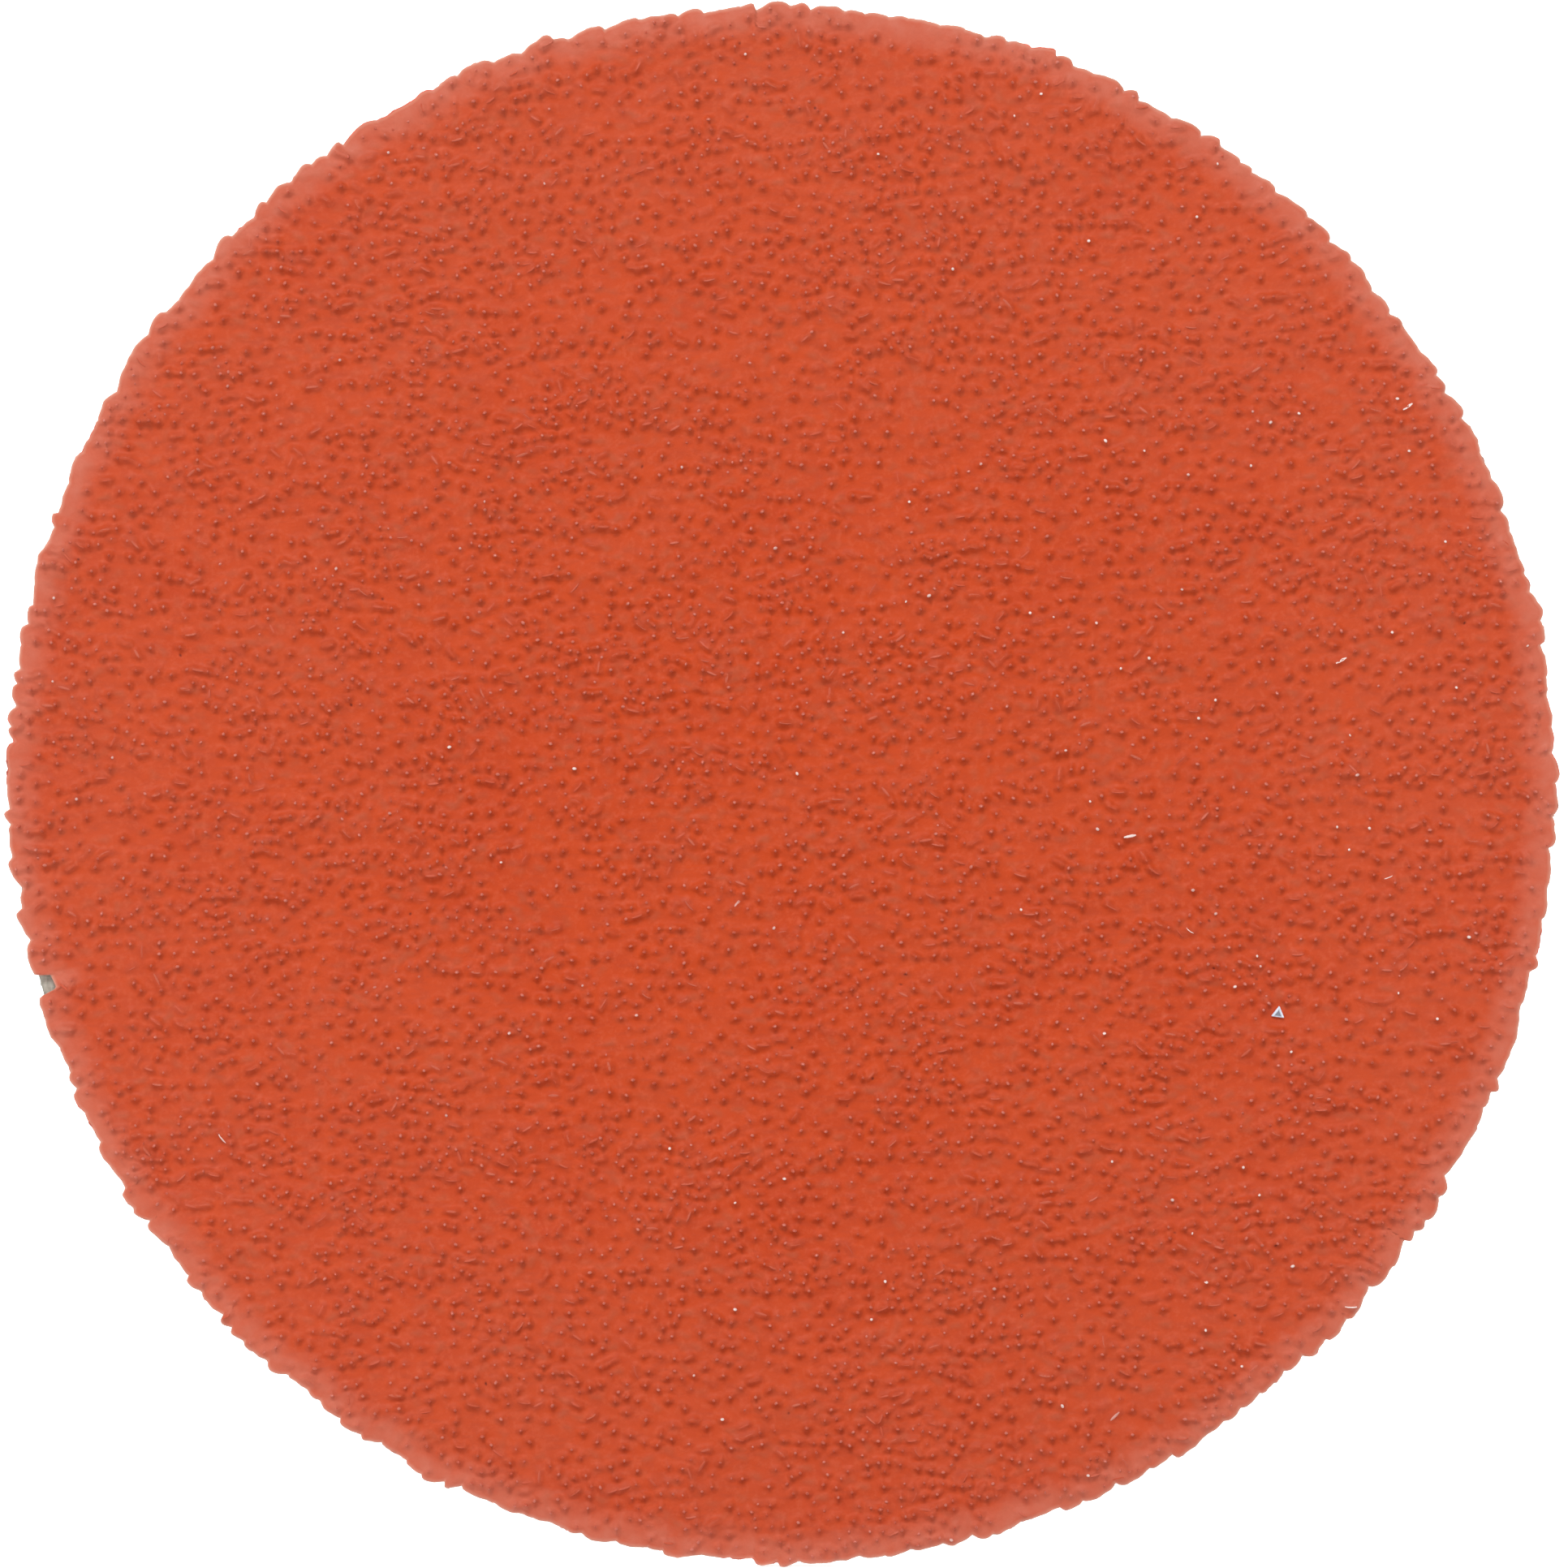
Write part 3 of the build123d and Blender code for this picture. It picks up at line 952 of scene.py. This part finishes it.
slab("sizeCoat", -frontOf("size_coat"), -backOf("size_coat"),
     lambda angle: outlineRadius(angle) - underCoats["sizeInset"], underCoats["jag"], 61,
     brittleResin("brittleSizeResin", (0.48, 0.06, 0.025), (0.62, 0.12, 0.07), 0.32),
     "size_coat")
slab("makeCoat", -frontOf("make_coat"), -backOf("make_coat"),
     lambda angle: outlineRadius(angle) - underCoats["makeInset"], underCoats["jag"], 62,
     brittleResin("brownMakeResin", (0.26, 0.07, 0.03), (0.46, 0.14, 0.06), 0.35),
     "make_coat")
slab("bondLine", -frontOf("laminating_adhesive"), -backOf("laminating_adhesive"),
     lambda angle: np.full(len(angle), underCoats["glueRadius"]), underCoats["glueJag"], 63,
     brittleResin("amberLaminatingGlue", (0.36, 0.25, 0.12), (0.52, 0.40, 0.22), 0.4),
     "laminating_adhesive", 3)
print("under coats and bond line made")

# the two cloth plies
cloth = {
    "radius": 37.75,
    "yarnPitch": 0.56,
    "fillPitch": 0.62,
    "turn": 0.03,  # of the weave, in radians
    "relief": 0.055,
    "fibreRelief": 0.006,
    "wornSize": 1.6,
    "wornShare": 0.15,
    "rings": 330,
    "bondedRings": 150,
    "wallLayers": 7,
    "yarnEndBulge": 0.018,
    "fray": 0.02,
    "wallBulge": 0.03,
    "wallInset": 0.05,
    "seatRadius": 12.12,
    "seatDepth": 0.12,
    "seatSlope": (-0.05, 0.25),
    "seatFlattening": 0.9,
}


def weave(x, z):
    # relief of a twill: warp yarns pass over two fill yarns and under one
    c = math.cos(cloth["turn"])
    s = math.sin(cloth["turn"])
    u = (x * c + z * s) / cloth["yarnPitch"]
    v = (z * c - x * s) / cloth["fillPitch"]
    warp = np.floor(u)
    fill = np.floor(v)
    warpRound = np.sqrt(np.clip(1 - (2 * (u - warp) - 1) ** 2, 0, 1))
    fillRound = np.sqrt(np.clip(1 - (2 * (v - fill) - 1) ** 2, 0, 1))
    warpWave = 0.5 + 0.5 * np.cos(2 * math.pi * (v - warp) / 3)
    fillWave = 0.5 - 0.5 * np.cos(2 * math.pi * (u - fill + 0.5) / 3 + math.pi)
    return np.maximum(warpRound * (0.35 + 0.65 * warpWave), fillRound * (0.25 + 0.45 * fillWave))


def makeCloth(name, node, outerLevel, innerLevel, ringCount, woven, seed, material):
    # the outer face is the woven one that shows, the inner one is bonded and flat
    radiusMax = cloth["radius"]
    share, angle, triangles = ringDisc(ringCount)
    radius = share * radiusMax
    x = radius * np.cos(angle)
    z = radius * np.sin(angle)
    inward = 1.0 if innerLevel > outerLevel else -1.0
    gaps = np.zeros(len(x))
    if woven:
        gaps = 1 - weave(x, z)
        worn = sampleField(coarseNoise(seed, cloth["wornSize"], cloth["wornSize"]), x, z)
        relief = -cloth["relief"] * gaps * (1 + cloth["wornShare"] * worn)
        relief = relief + cloth["fibreRelief"] * sampleField(coarseNoise(seed + 1, 0.35, 0.35), x, z)
        slopeStart, slopeEnd = cloth["seatSlope"]
        seat = 1 - smoothStep(cloth["seatRadius"] + slopeStart, cloth["seatRadius"] + slopeEnd, radius)
        relief = relief * (1 - cloth["seatFlattening"] * seat) - cloth["seatDepth"] * seat
        relief = np.minimum(relief, 0)
    else:
        relief = 0.01 * (sampleField(coarseNoise(seed, 0.6, 0.6), x, z) - 2)
    level = outerLevel - inward * relief
    points = [np.stack([x, -level, z], 1)]
    if inward > 0:
        triangles = triangles[:, ::-1]
    groups = [triangles]
    edgeCount = 6 * ringCount
    previous = np.arange(len(x) - edgeCount, len(x))
    edgeAngle = angle[previous]
    edgeLevel = level[previous]
    rng = np.random.default_rng(seed + 5)
    start = len(x)
    layers = cloth["wallLayers"]
    for layer in range(1, layers + 1):
        drop = layer / layers
        # cut yarn ends bulge and fray a little
        yarnEnds = np.sin(edgeAngle * radiusMax * 2 * math.pi / cloth["yarnPitch"] + 1.3 * layer)
        fray = cloth["yarnEndBulge"] * yarnEnds + cloth["fray"] * rng.standard_normal(edgeCount)
        fray = fray + cloth["wallBulge"] * math.sin(math.pi * drop) - cloth["wallInset"]
        if layer == layers:
            fray = np.full(edgeCount, -0.03)
        points.append(onCircle(radiusMax + fray, edgeLevel * (1 - drop) + innerLevel * drop, edgeAngle))
        current = start + np.arange(edgeCount)
        groups.append(bandFaces(current, previous) if inward > 0 else bandFaces(previous, current))
        previous = current
        start += edgeCount
    points.append(np.array([[0, -innerLevel, 0]]))
    cap = np.stack([previous, np.full(edgeCount, start), np.roll(previous, -1)], 1)
    groups.append(cap[:, ::-1] if inward > 0 else cap)
    points = np.concatenate(points)
    wall = np.arange(len(points)) - len(x)
    layer = np.where(wall >= 0, 1 + wall // edgeCount, 0)
    bakeScale = 0.47 / radiusMax
    bakeMap = 0.5 + points[:, [0, 2]] * bakeScale * (1 + 0.006 * layer)[:, None]
    bakeMap[-1] = 0.01
    gaps = np.pad(gaps, (0, len(points) - len(gaps)))
    piece = meshPiece(name, points, groups, material, {"gap": gaps}, bakeMap)
    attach(piece, "root")
    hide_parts(node)
    return piece


def clothMaterial(name, base, dark, pale):
    material, tree, shader = startMaterial(name)
    where = place(tree)
    turned = mapped(tree, where, "Rotation", (0, -cloth["turn"], 0))
    parts = addNode(tree, "ShaderNodeSeparateXYZ", {"Vector": turned})
    # fibres: noise drawn out along each yarn system
    warpFibre = mapped(tree, turned, "Scale", (1.0, 1.0, 0.09))
    fillFibre = mapped(tree, turned, "Scale", (0.09, 1.0, 1.0))
    warp = noise(tree, warpFibre, 0.05, 2.0, 0.6)
    fill = noise(tree, fillFibre, 0.05, 2.0, 0.6)
    band = maths(tree, "MULTIPLY", parts.outputs["Z"], 2 * math.pi / (cloth["fillPitch"] * mm))
    band = remap(tree, maths(tree, "SINE", band), -0.3, 0.3)
    fibre = maths(tree, "ADD", maths(tree, "MULTIPLY", warp, 0.65), maths(tree, "MULTIPLY", fill, 0.35))
    contrast = remap(tree, fibre, 0.38, 0.62)
    colour = mixColour(tree, contrast, dark, base)
    blotch = remap(tree, noise(tree, where, 5.0, 3.0, 0.6), 0.35, 0.65, 0.0, 0.5)
    colour = mixColour(tree, blotch, colour, pale)
    slub = remap(tree, noise(tree, warpFibre, 0.9, 2.0), 0.55, 0.7, 0.0, 0.35)
    colour = mixColour(tree, slub, colour, dark)
    # darker in the gaps between yarns: painted shade
    gap = remap(tree, attribute(tree, "gap"), 0.15, 0.7, 0.0, 0.75)
    colour = mixColour(tree, gap, colour, tuple(0.6 * part for part in dark))
    filled = remap(tree, noise(tree, where, 1.5, 4.0, 0.65), 0.45, 0.6)
    roughness = remap(tree, filled, 0.0, 1.0, 0.62, 0.85)
    height = maths(tree, "ADD", fibre, maths(tree, "MULTIPLY", band, 0.08))
    connect(tree, shader, colour=colour, roughness=roughness, normal=bump(tree, height, 0.025, 0.8))
    shader.inputs["Sheen Weight"].default_value = 0.12
    shader.inputs["Sheen Roughness"].default_value = 0.5
    shader.inputs["Specular IOR Level"].default_value = 0.3
    return material


backClothMaterial = clothMaterial("resinFilledTwill", (0.34, 0.30, 0.23), (0.20, 0.17, 0.13),
                                  (0.40, 0.36, 0.29))
faceClothMaterial = clothMaterial("greyTanCloth", (0.34, 0.32, 0.27), (0.22, 0.205, 0.17),
                                  (0.42, 0.40, 0.34))
backCloth = makeCloth("backCloth", "back_cloth", 0.0, -frontOf("back_cloth"), cloth["rings"], True, 41,
                      backClothMaterial)
faceCloth = makeCloth("faceCloth", "face_cloth", -frontOf("face_cloth"), -backOf("face_cloth"),
                      cloth["bondedRings"], False, 44, faceClothMaterial)
print("cloth plies made")

# hot-melt glue squeezed out round the button
glueBead = {
    "radius": 12.02,
    "width": 0.34,
    "height": 0.2,
    "unevenness": 0.15,
    "waves": (2, 40),
    "swell": (0.45, 1.7),
    "columns": 540,
    # the bead's section as (outward, up) shares of its width and height
    "section": ((-0.35, -0.11), (-0.3, 0.35), (-0.05, 0.75), (0.12, 1.0), (0.4, 0.82), (0.75, 0.38),
                (1.0, -0.02), (0.55, -0.3)),
}


def makeGlueBead():
    count = glueBead["columns"]
    angle = np.arange(count) * 2 * math.pi / count
    rng = np.random.default_rng(12)
    swell = np.ones(count)
    for wave in range(*glueBead["waves"]):
        strength = glueBead["unevenness"] / math.sqrt(wave) * rng.normal()
        swell = swell + strength * np.sin(wave * angle + rng.uniform(0, 2 * math.pi))
    swell = np.clip(swell, *glueBead["swell"])
    section = glueBead["section"]
    points = []
    for along, up in section:
        radius = glueBead["radius"] + along * glueBead["width"] * (swell if along > 0 else 1)
        points.append(onCircle(radius, -up * glueBead["height"] * (swell if up > 0 else 1), angle))
    rings = [np.arange(count) + number * count for number in range(len(section))]
    faces = [bandFaces(first, last) for first, last in zip(rings, rings[1:] + rings[:1])]
    material, tree, shader = startMaterial("amberHotMelt")
    where = place(tree)
    haze = remap(tree, noise(tree, where, 0.6, 3.0), 0.3, 0.7)
    colour = mixColour(tree, haze, (0.42, 0.30, 0.13), (0.54, 0.43, 0.24))
    roughness = remap(tree, haze, 0.0, 1.0, 0.22, 0.4)
    connect(tree, shader, colour=colour, roughness=roughness,
            normal=bump(tree, noise(tree, where, 0.3, 3.0), 0.02, 0.5))
    shader.inputs["Subsurface Weight"].default_value = 0.25
    shader.inputs["Subsurface Radius"].default_value = (1.0, 0.6, 0.25)
    shader.inputs["Subsurface Scale"].default_value = 0.0006
    piece = meshPiece("glueBead", np.concatenate(points), faces, material)
    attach(piece, "root")
    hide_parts("button_adhesive")


makeGlueBead()
print("glue bead made")

# the threaded button, one nylon moulding
button = {
    "columns": 360,
    "coreRadius": 3.2,
    "crestRadius": 4.6,
    "threadPitch": 3.2,
    "threadTurns": 1.2,
    "threadStart": 2.1,
    "threadStartAngle": 90,
    "crestHalf": 0.45,
    "rootHalf": 0.95,
    "rootRounding": 0.1,
    "taperLength": 1.3,  # of the thread's ends
    "fillet": 0.16,
    "rimHeight": 0.5,
    "seatRadius": 8.6,
    "seatHeight": 1.1,
    "reliefRadius": 5.0,
    "reliefHeight": 0.8,
    "coreEnd": 6.9,
    "noseRadius": 2.75,
    "noseHeights": (7.34, 8.34),
    "gateRadius": 1.2,
    "gateHeight": 8.14,
    "rowHeight": 0.045,  # between rows of points on the stem
    "seam": (0.02, 0.012),  # height of the moulding line, and its half width in radians
}


def moulded(profile, fillet):
    # rounds the corners of a (radius, height) profile with short arcs
    rounded = [profile[0]]
    for before, corner, after in zip(profile, profile[1:], profile[2:]):
        before = np.array(before)
        point = np.array(corner[:2])
        after = np.array(after[:2])
        reach = corner[2] if len(corner) > 2 else fillet
        first = before[:2] - point
        last = after - point
        reach = min(reach, 0.45 * np.hypot(*first), 0.45 * np.hypot(*last))
        start = point + first / np.hypot(*first) * reach
        end = point + last / np.hypot(*last) * reach
        for share in (0.0, 0.25, 0.5, 0.75, 1.0):
            curve = (1 - share) ** 2 * start + 2 * share * (1 - share) * point + share ** 2 * end
            rounded.append(tuple(curve))
    rounded.append(profile[-1])
    return np.array([pair[:2] for pair in rounded])


def threadRadius(angle, height):
    # the blunt thread's radius where it stands out of the core, with tapered ends
    best = np.full(angle.shape, button["coreRadius"])
    turn0 = (math.radians(button["threadStartAngle"]) - angle) / (2 * math.pi) % 1
    for lap in (-1, 0, 1, 2):
        turn = turn0 + lap
        offset = np.abs(height - button["threadStart"] - button["threadPitch"] * turn)
        past = np.maximum(np.maximum(-turn, turn - button["threadTurns"]), 0)
        past = past * 2 * math.pi * button["coreRadius"]
        taper = 1 - smoothStep(0.0, button["taperLength"], past)
        rounding = button["rootRounding"]
        flank = 1 - smoothStep(button["crestHalf"] - rounding, button["rootHalf"] + rounding, offset)
        ramp = np.clip((button["rootHalf"] - offset) / (button["rootHalf"] - button["crestHalf"]), 0, 1)
        stand = (0.35 * flank + 0.65 * ramp) * taper
        best = np.maximum(best, button["coreRadius"] + (button["crestRadius"] - button["coreRadius"]) * stand)
    return best


def makeButton():
    low, high = boxOf("drive_button")
    top = high[1]
    flange = high[0] - 0.02
    core = button["coreRadius"]
    seat, seatHeight = button["seatRadius"], button["seatHeight"]
    relief, reliefHeight = button["reliefRadius"], button["reliefHeight"]
    coreEnd, nose, gate = button["coreEnd"], button["noseRadius"], button["gateRadius"]
    noseStart, noseEnd = button["noseHeights"]
    gateFloor = button["gateHeight"]
    stemStart, stemEnd = seatHeight, coreEnd - 0.04
    # corners as radius, height and, where it isn't the usual fillet, rounding
    outer = [(0.0, 0.0), (flange - 0.13, 0.0, 0.08), (flange, 0.12, 0.1), (flange, button["rimHeight"], 0.22),
             (seat, seatHeight, 0.5), (relief, seatHeight, 0.15), (relief - 0.14, reliefHeight, 0.15),
             (core, reliefHeight, 0.3), (core, stemStart - 0.04, 0.05)]
    stem = [(core, height) for height in np.arange(stemStart, stemEnd, button["rowHeight"])]
    tipProfile = [(core, stemEnd), (core - 0.01, coreEnd, 0.1), (nose, noseStart, 0.12),
                  (nose, noseEnd, 0.12), (nose - 0.5, top, 0.12), (gate, top, 0.1), (gate - 0.08, gateFloor, 0.12),
                  (0.25, gateFloor, 0.05), (0.2, gateFloor + 0.16, 0.05), (0.0, gateFloor + 0.18)]
    profile = np.concatenate([moulded(outer, button["fillet"]), stem, moulded(tipProfile, button["fillet"])])
    profile[:, 0] = np.maximum(profile[:, 0], 0.0)
    columns = button["columns"]
    angle = np.arange(columns) * 2 * math.pi / columns
    rows = profile[1:-1]
    radius = np.repeat(rows[:, :1], columns, 1)
    height = np.repeat(rows[:, 1:], columns, 1)
    angles = np.repeat(angle[None], len(rows), 0)
    onStem = (height > 1.0) & (height < coreEnd) & (np.abs(radius - core) < 0.1)
    radius = np.where(onStem, np.maximum(radius, threadRadius(angles, height)), radius)
    # a faint moulding line down both sides of the stem
    seamHeight, seamWidth = button["seam"]
    seam = np.exp(-(((angles % math.pi) - math.pi / 2) / seamWidth) ** 2)
    radius = radius + np.where(onStem, seamHeight * seam, 0)
    points = np.stack([radius * np.cos(angles), height, radius * np.sin(angles)], 2).reshape(-1, 3)
    points = np.concatenate([points, [[0, profile[0, 1], 0], [0, profile[-1, 1], 0]]])
    piece = meshPiece("driveButton", points, stackFaces(len(rows), columns), nylonMaterial())
    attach(piece, "root")
    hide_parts("drive_button")


def nylonMaterial():
    material, tree, shader = startMaterial("darkGreyNylon")
    where = place(tree)
    flow = remap(tree, noise(tree, where, 3.0, 3.0, 0.55), 0.3, 0.7)
    spark = noise(tree, where, 0.16, 2.0, 0.5)
    colour = mixColour(tree, flow, (0.030, 0.032, 0.034), (0.046, 0.048, 0.051))
    scuff = remap(tree, noise(tree, where, 1.1, 5.0, 0.7), 0.6, 0.75, 0.0, 0.35)
    colour = mixColour(tree, scuff, colour, (0.10, 0.10, 0.105))
    roughness = remap(tree, flow, 0.0, 1.0, 0.36, 0.5)
    connect(tree, shader, colour=colour, roughness=roughness, normal=bump(tree, spark, 0.02, 0.45))
    shader.inputs["Specular IOR Level"].default_value = 0.5
    return material


makeButton()
print("drive button made")

# stray fibres at the cut edges of the cloth
fuzz = {
    "count": 520,
    "length": (0.25, 0.8),
    "radius": 0.011,
    "thinning": 0.6,
    "steps": 6,
    "lean": 1.3,  # at most this far from straight outwards, in radians
    "curl": 1.6,
    "rise": 0.5,
    "root": 0.12,  # inside the cloth's edge
    "reach": 0.3,  # outside it
    "rootMargin": 0.05,  # from the ply's faces
    "endMargin": 0.02,
}


def makeFuzz(name, lowLevel, highLevel, seed, material):
    rng = np.random.default_rng(seed)
    points = []
    faces = []
    steps = fuzz["steps"]
    outermost = cloth["radius"] + fuzz["reach"]
    for _ in range(fuzz["count"]):
        angle = rng.uniform(0, 2 * math.pi)
        level = rng.uniform(lowLevel + fuzz["rootMargin"], highLevel - fuzz["rootMargin"])
        outward = np.array([math.cos(angle), 0, math.sin(angle)])
        sideways = np.array([-math.sin(angle), 0, math.cos(angle)])
        length = rng.uniform(*fuzz["length"])
        lean = rng.uniform(-fuzz["lean"], fuzz["lean"])
        curl = rng.uniform(-fuzz["curl"], fuzz["curl"])
        rise = rng.uniform(-fuzz["rise"], fuzz["rise"])
        here = outward * (cloth["radius"] - fuzz["root"]) + np.array([0, -level, 0])
        for step in range(steps):
            turn = lean + curl * step / steps
            heading = outward * math.cos(turn) + sideways * math.sin(turn) + np.array([0, rise, 0])
            heading = heading / np.linalg.norm(heading)
            normal = np.cross(heading, [0, 1, 0])
            normal = normal / np.linalg.norm(normal)
            other = np.cross(heading, normal)
            thin = fuzz["radius"] * (1 - fuzz["thinning"] * step / (steps - 1))
            for corner in range(3):
                spin = corner * 2 * math.pi / 3
                points.append(here + thin * (math.cos(spin) * normal + math.sin(spin) * other))
            here = here + heading * length / steps
            reach = math.hypot(here[0], here[2])
            if reach > outermost:
                here = here * np.array([outermost / reach, 1, outermost / reach])
            here[1] = np.clip(here[1], fuzz["endMargin"] - highLevel, -fuzz["endMargin"] - lowLevel)
        base = len(points) - 3 * steps
        for step in range(steps - 1):
            for corner in range(3):
                a = base + 3 * step + corner
                b = base + 3 * step + (corner + 1) % 3
                faces.append((a, a + 3, b + 3, b))
    # a triangle closes either end
    foot = np.arange(fuzz["count"])[:, None] * 3 * steps + np.array([[0, 1, 2]])
    end = np.arange(1, fuzz["count"] + 1)[:, None] * 3 * steps - np.array([[1, 2, 3]])
    piece = meshPiece(name, np.array(points), [np.array(faces), foot, end], material)
    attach(piece, "root")


makeFuzz("faceClothFibres", -backOf("face_cloth"), -frontOf("face_cloth"), 71, faceClothMaterial)
makeFuzz("backClothFibres", 0.0, -frontOf("back_cloth"), 72, backClothMaterial)
print("stray fibres made")

# floor, backdrop, light and camera
studio = {
    "wallDistance": 1.0,  # in metres, as are the next four
    "frontWallDistance": 2.6,
    "sideWallDistance": 1.9,
    "wallHeight": 0.9,
    "bend": 0.35,
    "corners": 96,  # the walls stand on a rounded rectangle with this many corners
    "roundness": 0.4,  # 1 makes it an ellipse
    "wallGlow": 0.6,
    "glowBehind": (-0.004, -0.001),  # the floor's glow begins in front of the disc
    "glowAbove": (2.0, 60.0),  # and the wall's above the floor, in millimetres
    "ambient": 0.174,
    "keyPower": 88.0,
    "keyPlace": (-0.35, -2.24, 2.14),
    "keySize": 0.95,
    "backFillPower": 16.0,
    "backFillPlace": (-0.9, 0.8, 1.4),
    "backFillSize": 0.8,
    "aside": 0.0001,  # the camera's place, right of the disc's middle
    "lens": 150.0,
    "sensor": 36.0,
    "sideMargin": 0.999,  # frame side over the disc's height
}


def makeStage():
    floorLevel = float(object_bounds()[0][2]) / mm
    back = studio["wallDistance"] / mm
    front = studio["frontWallDistance"] / mm
    bend = studio["bend"] / mm
    centreY = (back - front) / 2
    halfX = studio["sideWallDistance"] / mm
    halfY = (back + front) / 2
    count = studio["corners"]
    turn = np.arange(count) * 2 * math.pi / count
    squareX = np.sign(np.cos(turn)) * np.abs(np.cos(turn)) ** studio["roundness"]
    squareY = np.sign(np.sin(turn)) * np.abs(np.sin(turn)) ** studio["roundness"]
    # the cove's section, from the floor's flat border up the wall, as (inset, rise) pairs
    profile = [(3 * bend, 0.0), (bend + 20, 0.0), (bend + 2, 0.0)]
    profile += [(bend - bend * math.sin(turned), bend * (1 - math.cos(turned)))
                for turned in np.linspace(0, math.pi / 2, 24)]
    profile += [(0.0, bend + 2), (0.0, studio["wallHeight"] / mm)]
    points = [np.stack([(halfX - inset) * squareX, centreY + (halfY - inset) * squareY,
                        np.full(count, floorLevel + rise)], 1) for inset, rise in profile]
    points.append(np.array([[0, centreY, floorLevel]]))
    points = np.concatenate(points)
    rings = [np.arange(count) + number * count for number in range(len(profile))]
    walls = np.concatenate([bandFaces(first, last) for first, last in zip(rings, rings[1:])])
    floor = np.stack([np.full(count, len(points) - 1), rings[0], np.roll(rings[0], -1)], 1)
    material, tree, shader = startMaterial("paleStudioPaper")
    where = place(tree)
    tint = remap(tree, noise(tree, where, 60.0, 2.0), 0.3, 0.7)
    paper = mixColour(tree, tint, (0.74, 0.74, 0.74), (0.77, 0.77, 0.77))
    connect(tree, shader, colour=paper, roughness=0.9)
    # the paper behind the disc and the upright ends glow, as if lit on their own
    parts = addNode(tree, "ShaderNodeSeparateXYZ", {"Vector": where}).outputs
    behind = remap(tree, parts["Y"], *studio["glowBehind"], 0.0, studio["wallGlow"])
    glowStart, glowFull = [(floorLevel + rise) * mm for rise in studio["glowAbove"]]
    upright = remap(tree, parts["Z"], glowStart, glowFull, 0.0, studio["wallGlow"])
    glow = maths(tree, "MAXIMUM", behind, upright)
    shader.inputs["Emission Color"].default_value = (1, 1, 1, 1)
    tree.links.new(glow, shader.inputs["Emission Strength"])
    backdrop = meshPiece("studioBackdrop", points, [walls, floor], material)
    backdrop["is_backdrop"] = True


def areaLight(name, spot, power, size):
    data = bpy.data.lights.new(name, "AREA")
    data.energy = power
    data.shape = "DISK"
    data.size = size
    lamp = bpy.data.objects.new(name, data)
    bpy.context.scene.collection.objects.link(lamp)
    lamp.location = spot
    lamp.rotation_euler = (-Vector(spot)).to_track_quat("-Z", "Y").to_euler()


makeStage()
areaLight("keyLight", studio["keyPlace"], studio["keyPower"], studio["keySize"])
areaLight("backFill", studio["backFillPlace"], studio["backFillPower"], studio["backFillSize"])

world = bpy.data.worlds.new("softStudio")
bpy.context.scene.world = world
world.use_nodes = True
background = world.node_tree.nodes["Background"]
background.inputs["Color"].default_value = (1, 1, 1, 1)
background.inputs["Strength"].default_value = studio["ambient"]
bpy.context.scene.view_settings.view_transform = "Standard"

low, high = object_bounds()
discHeight = (high[2] - low[2]) * studio["sideMargin"]
distance = discHeight / 2 / (studio["sensor"] / 2 / studio["lens"])
cameraData = bpy.data.cameras.new("camera")
cameraData.lens = studio["lens"]
cameraData.sensor_width = studio["sensor"]
cameraData.clip_start = 0.01
cameraData.clip_end = 20
camera = bpy.data.objects.new("camera", cameraData)
bpy.context.scene.collection.objects.link(camera)
camera.location = ((low[0] + high[0]) / 2 + studio["aside"], low[1] - distance, (low[2] + high[2]) / 2)
camera.rotation_euler = (math.pi / 2, 0, 0)
bpy.context.scene.camera = camera
print("stage, light and camera set")
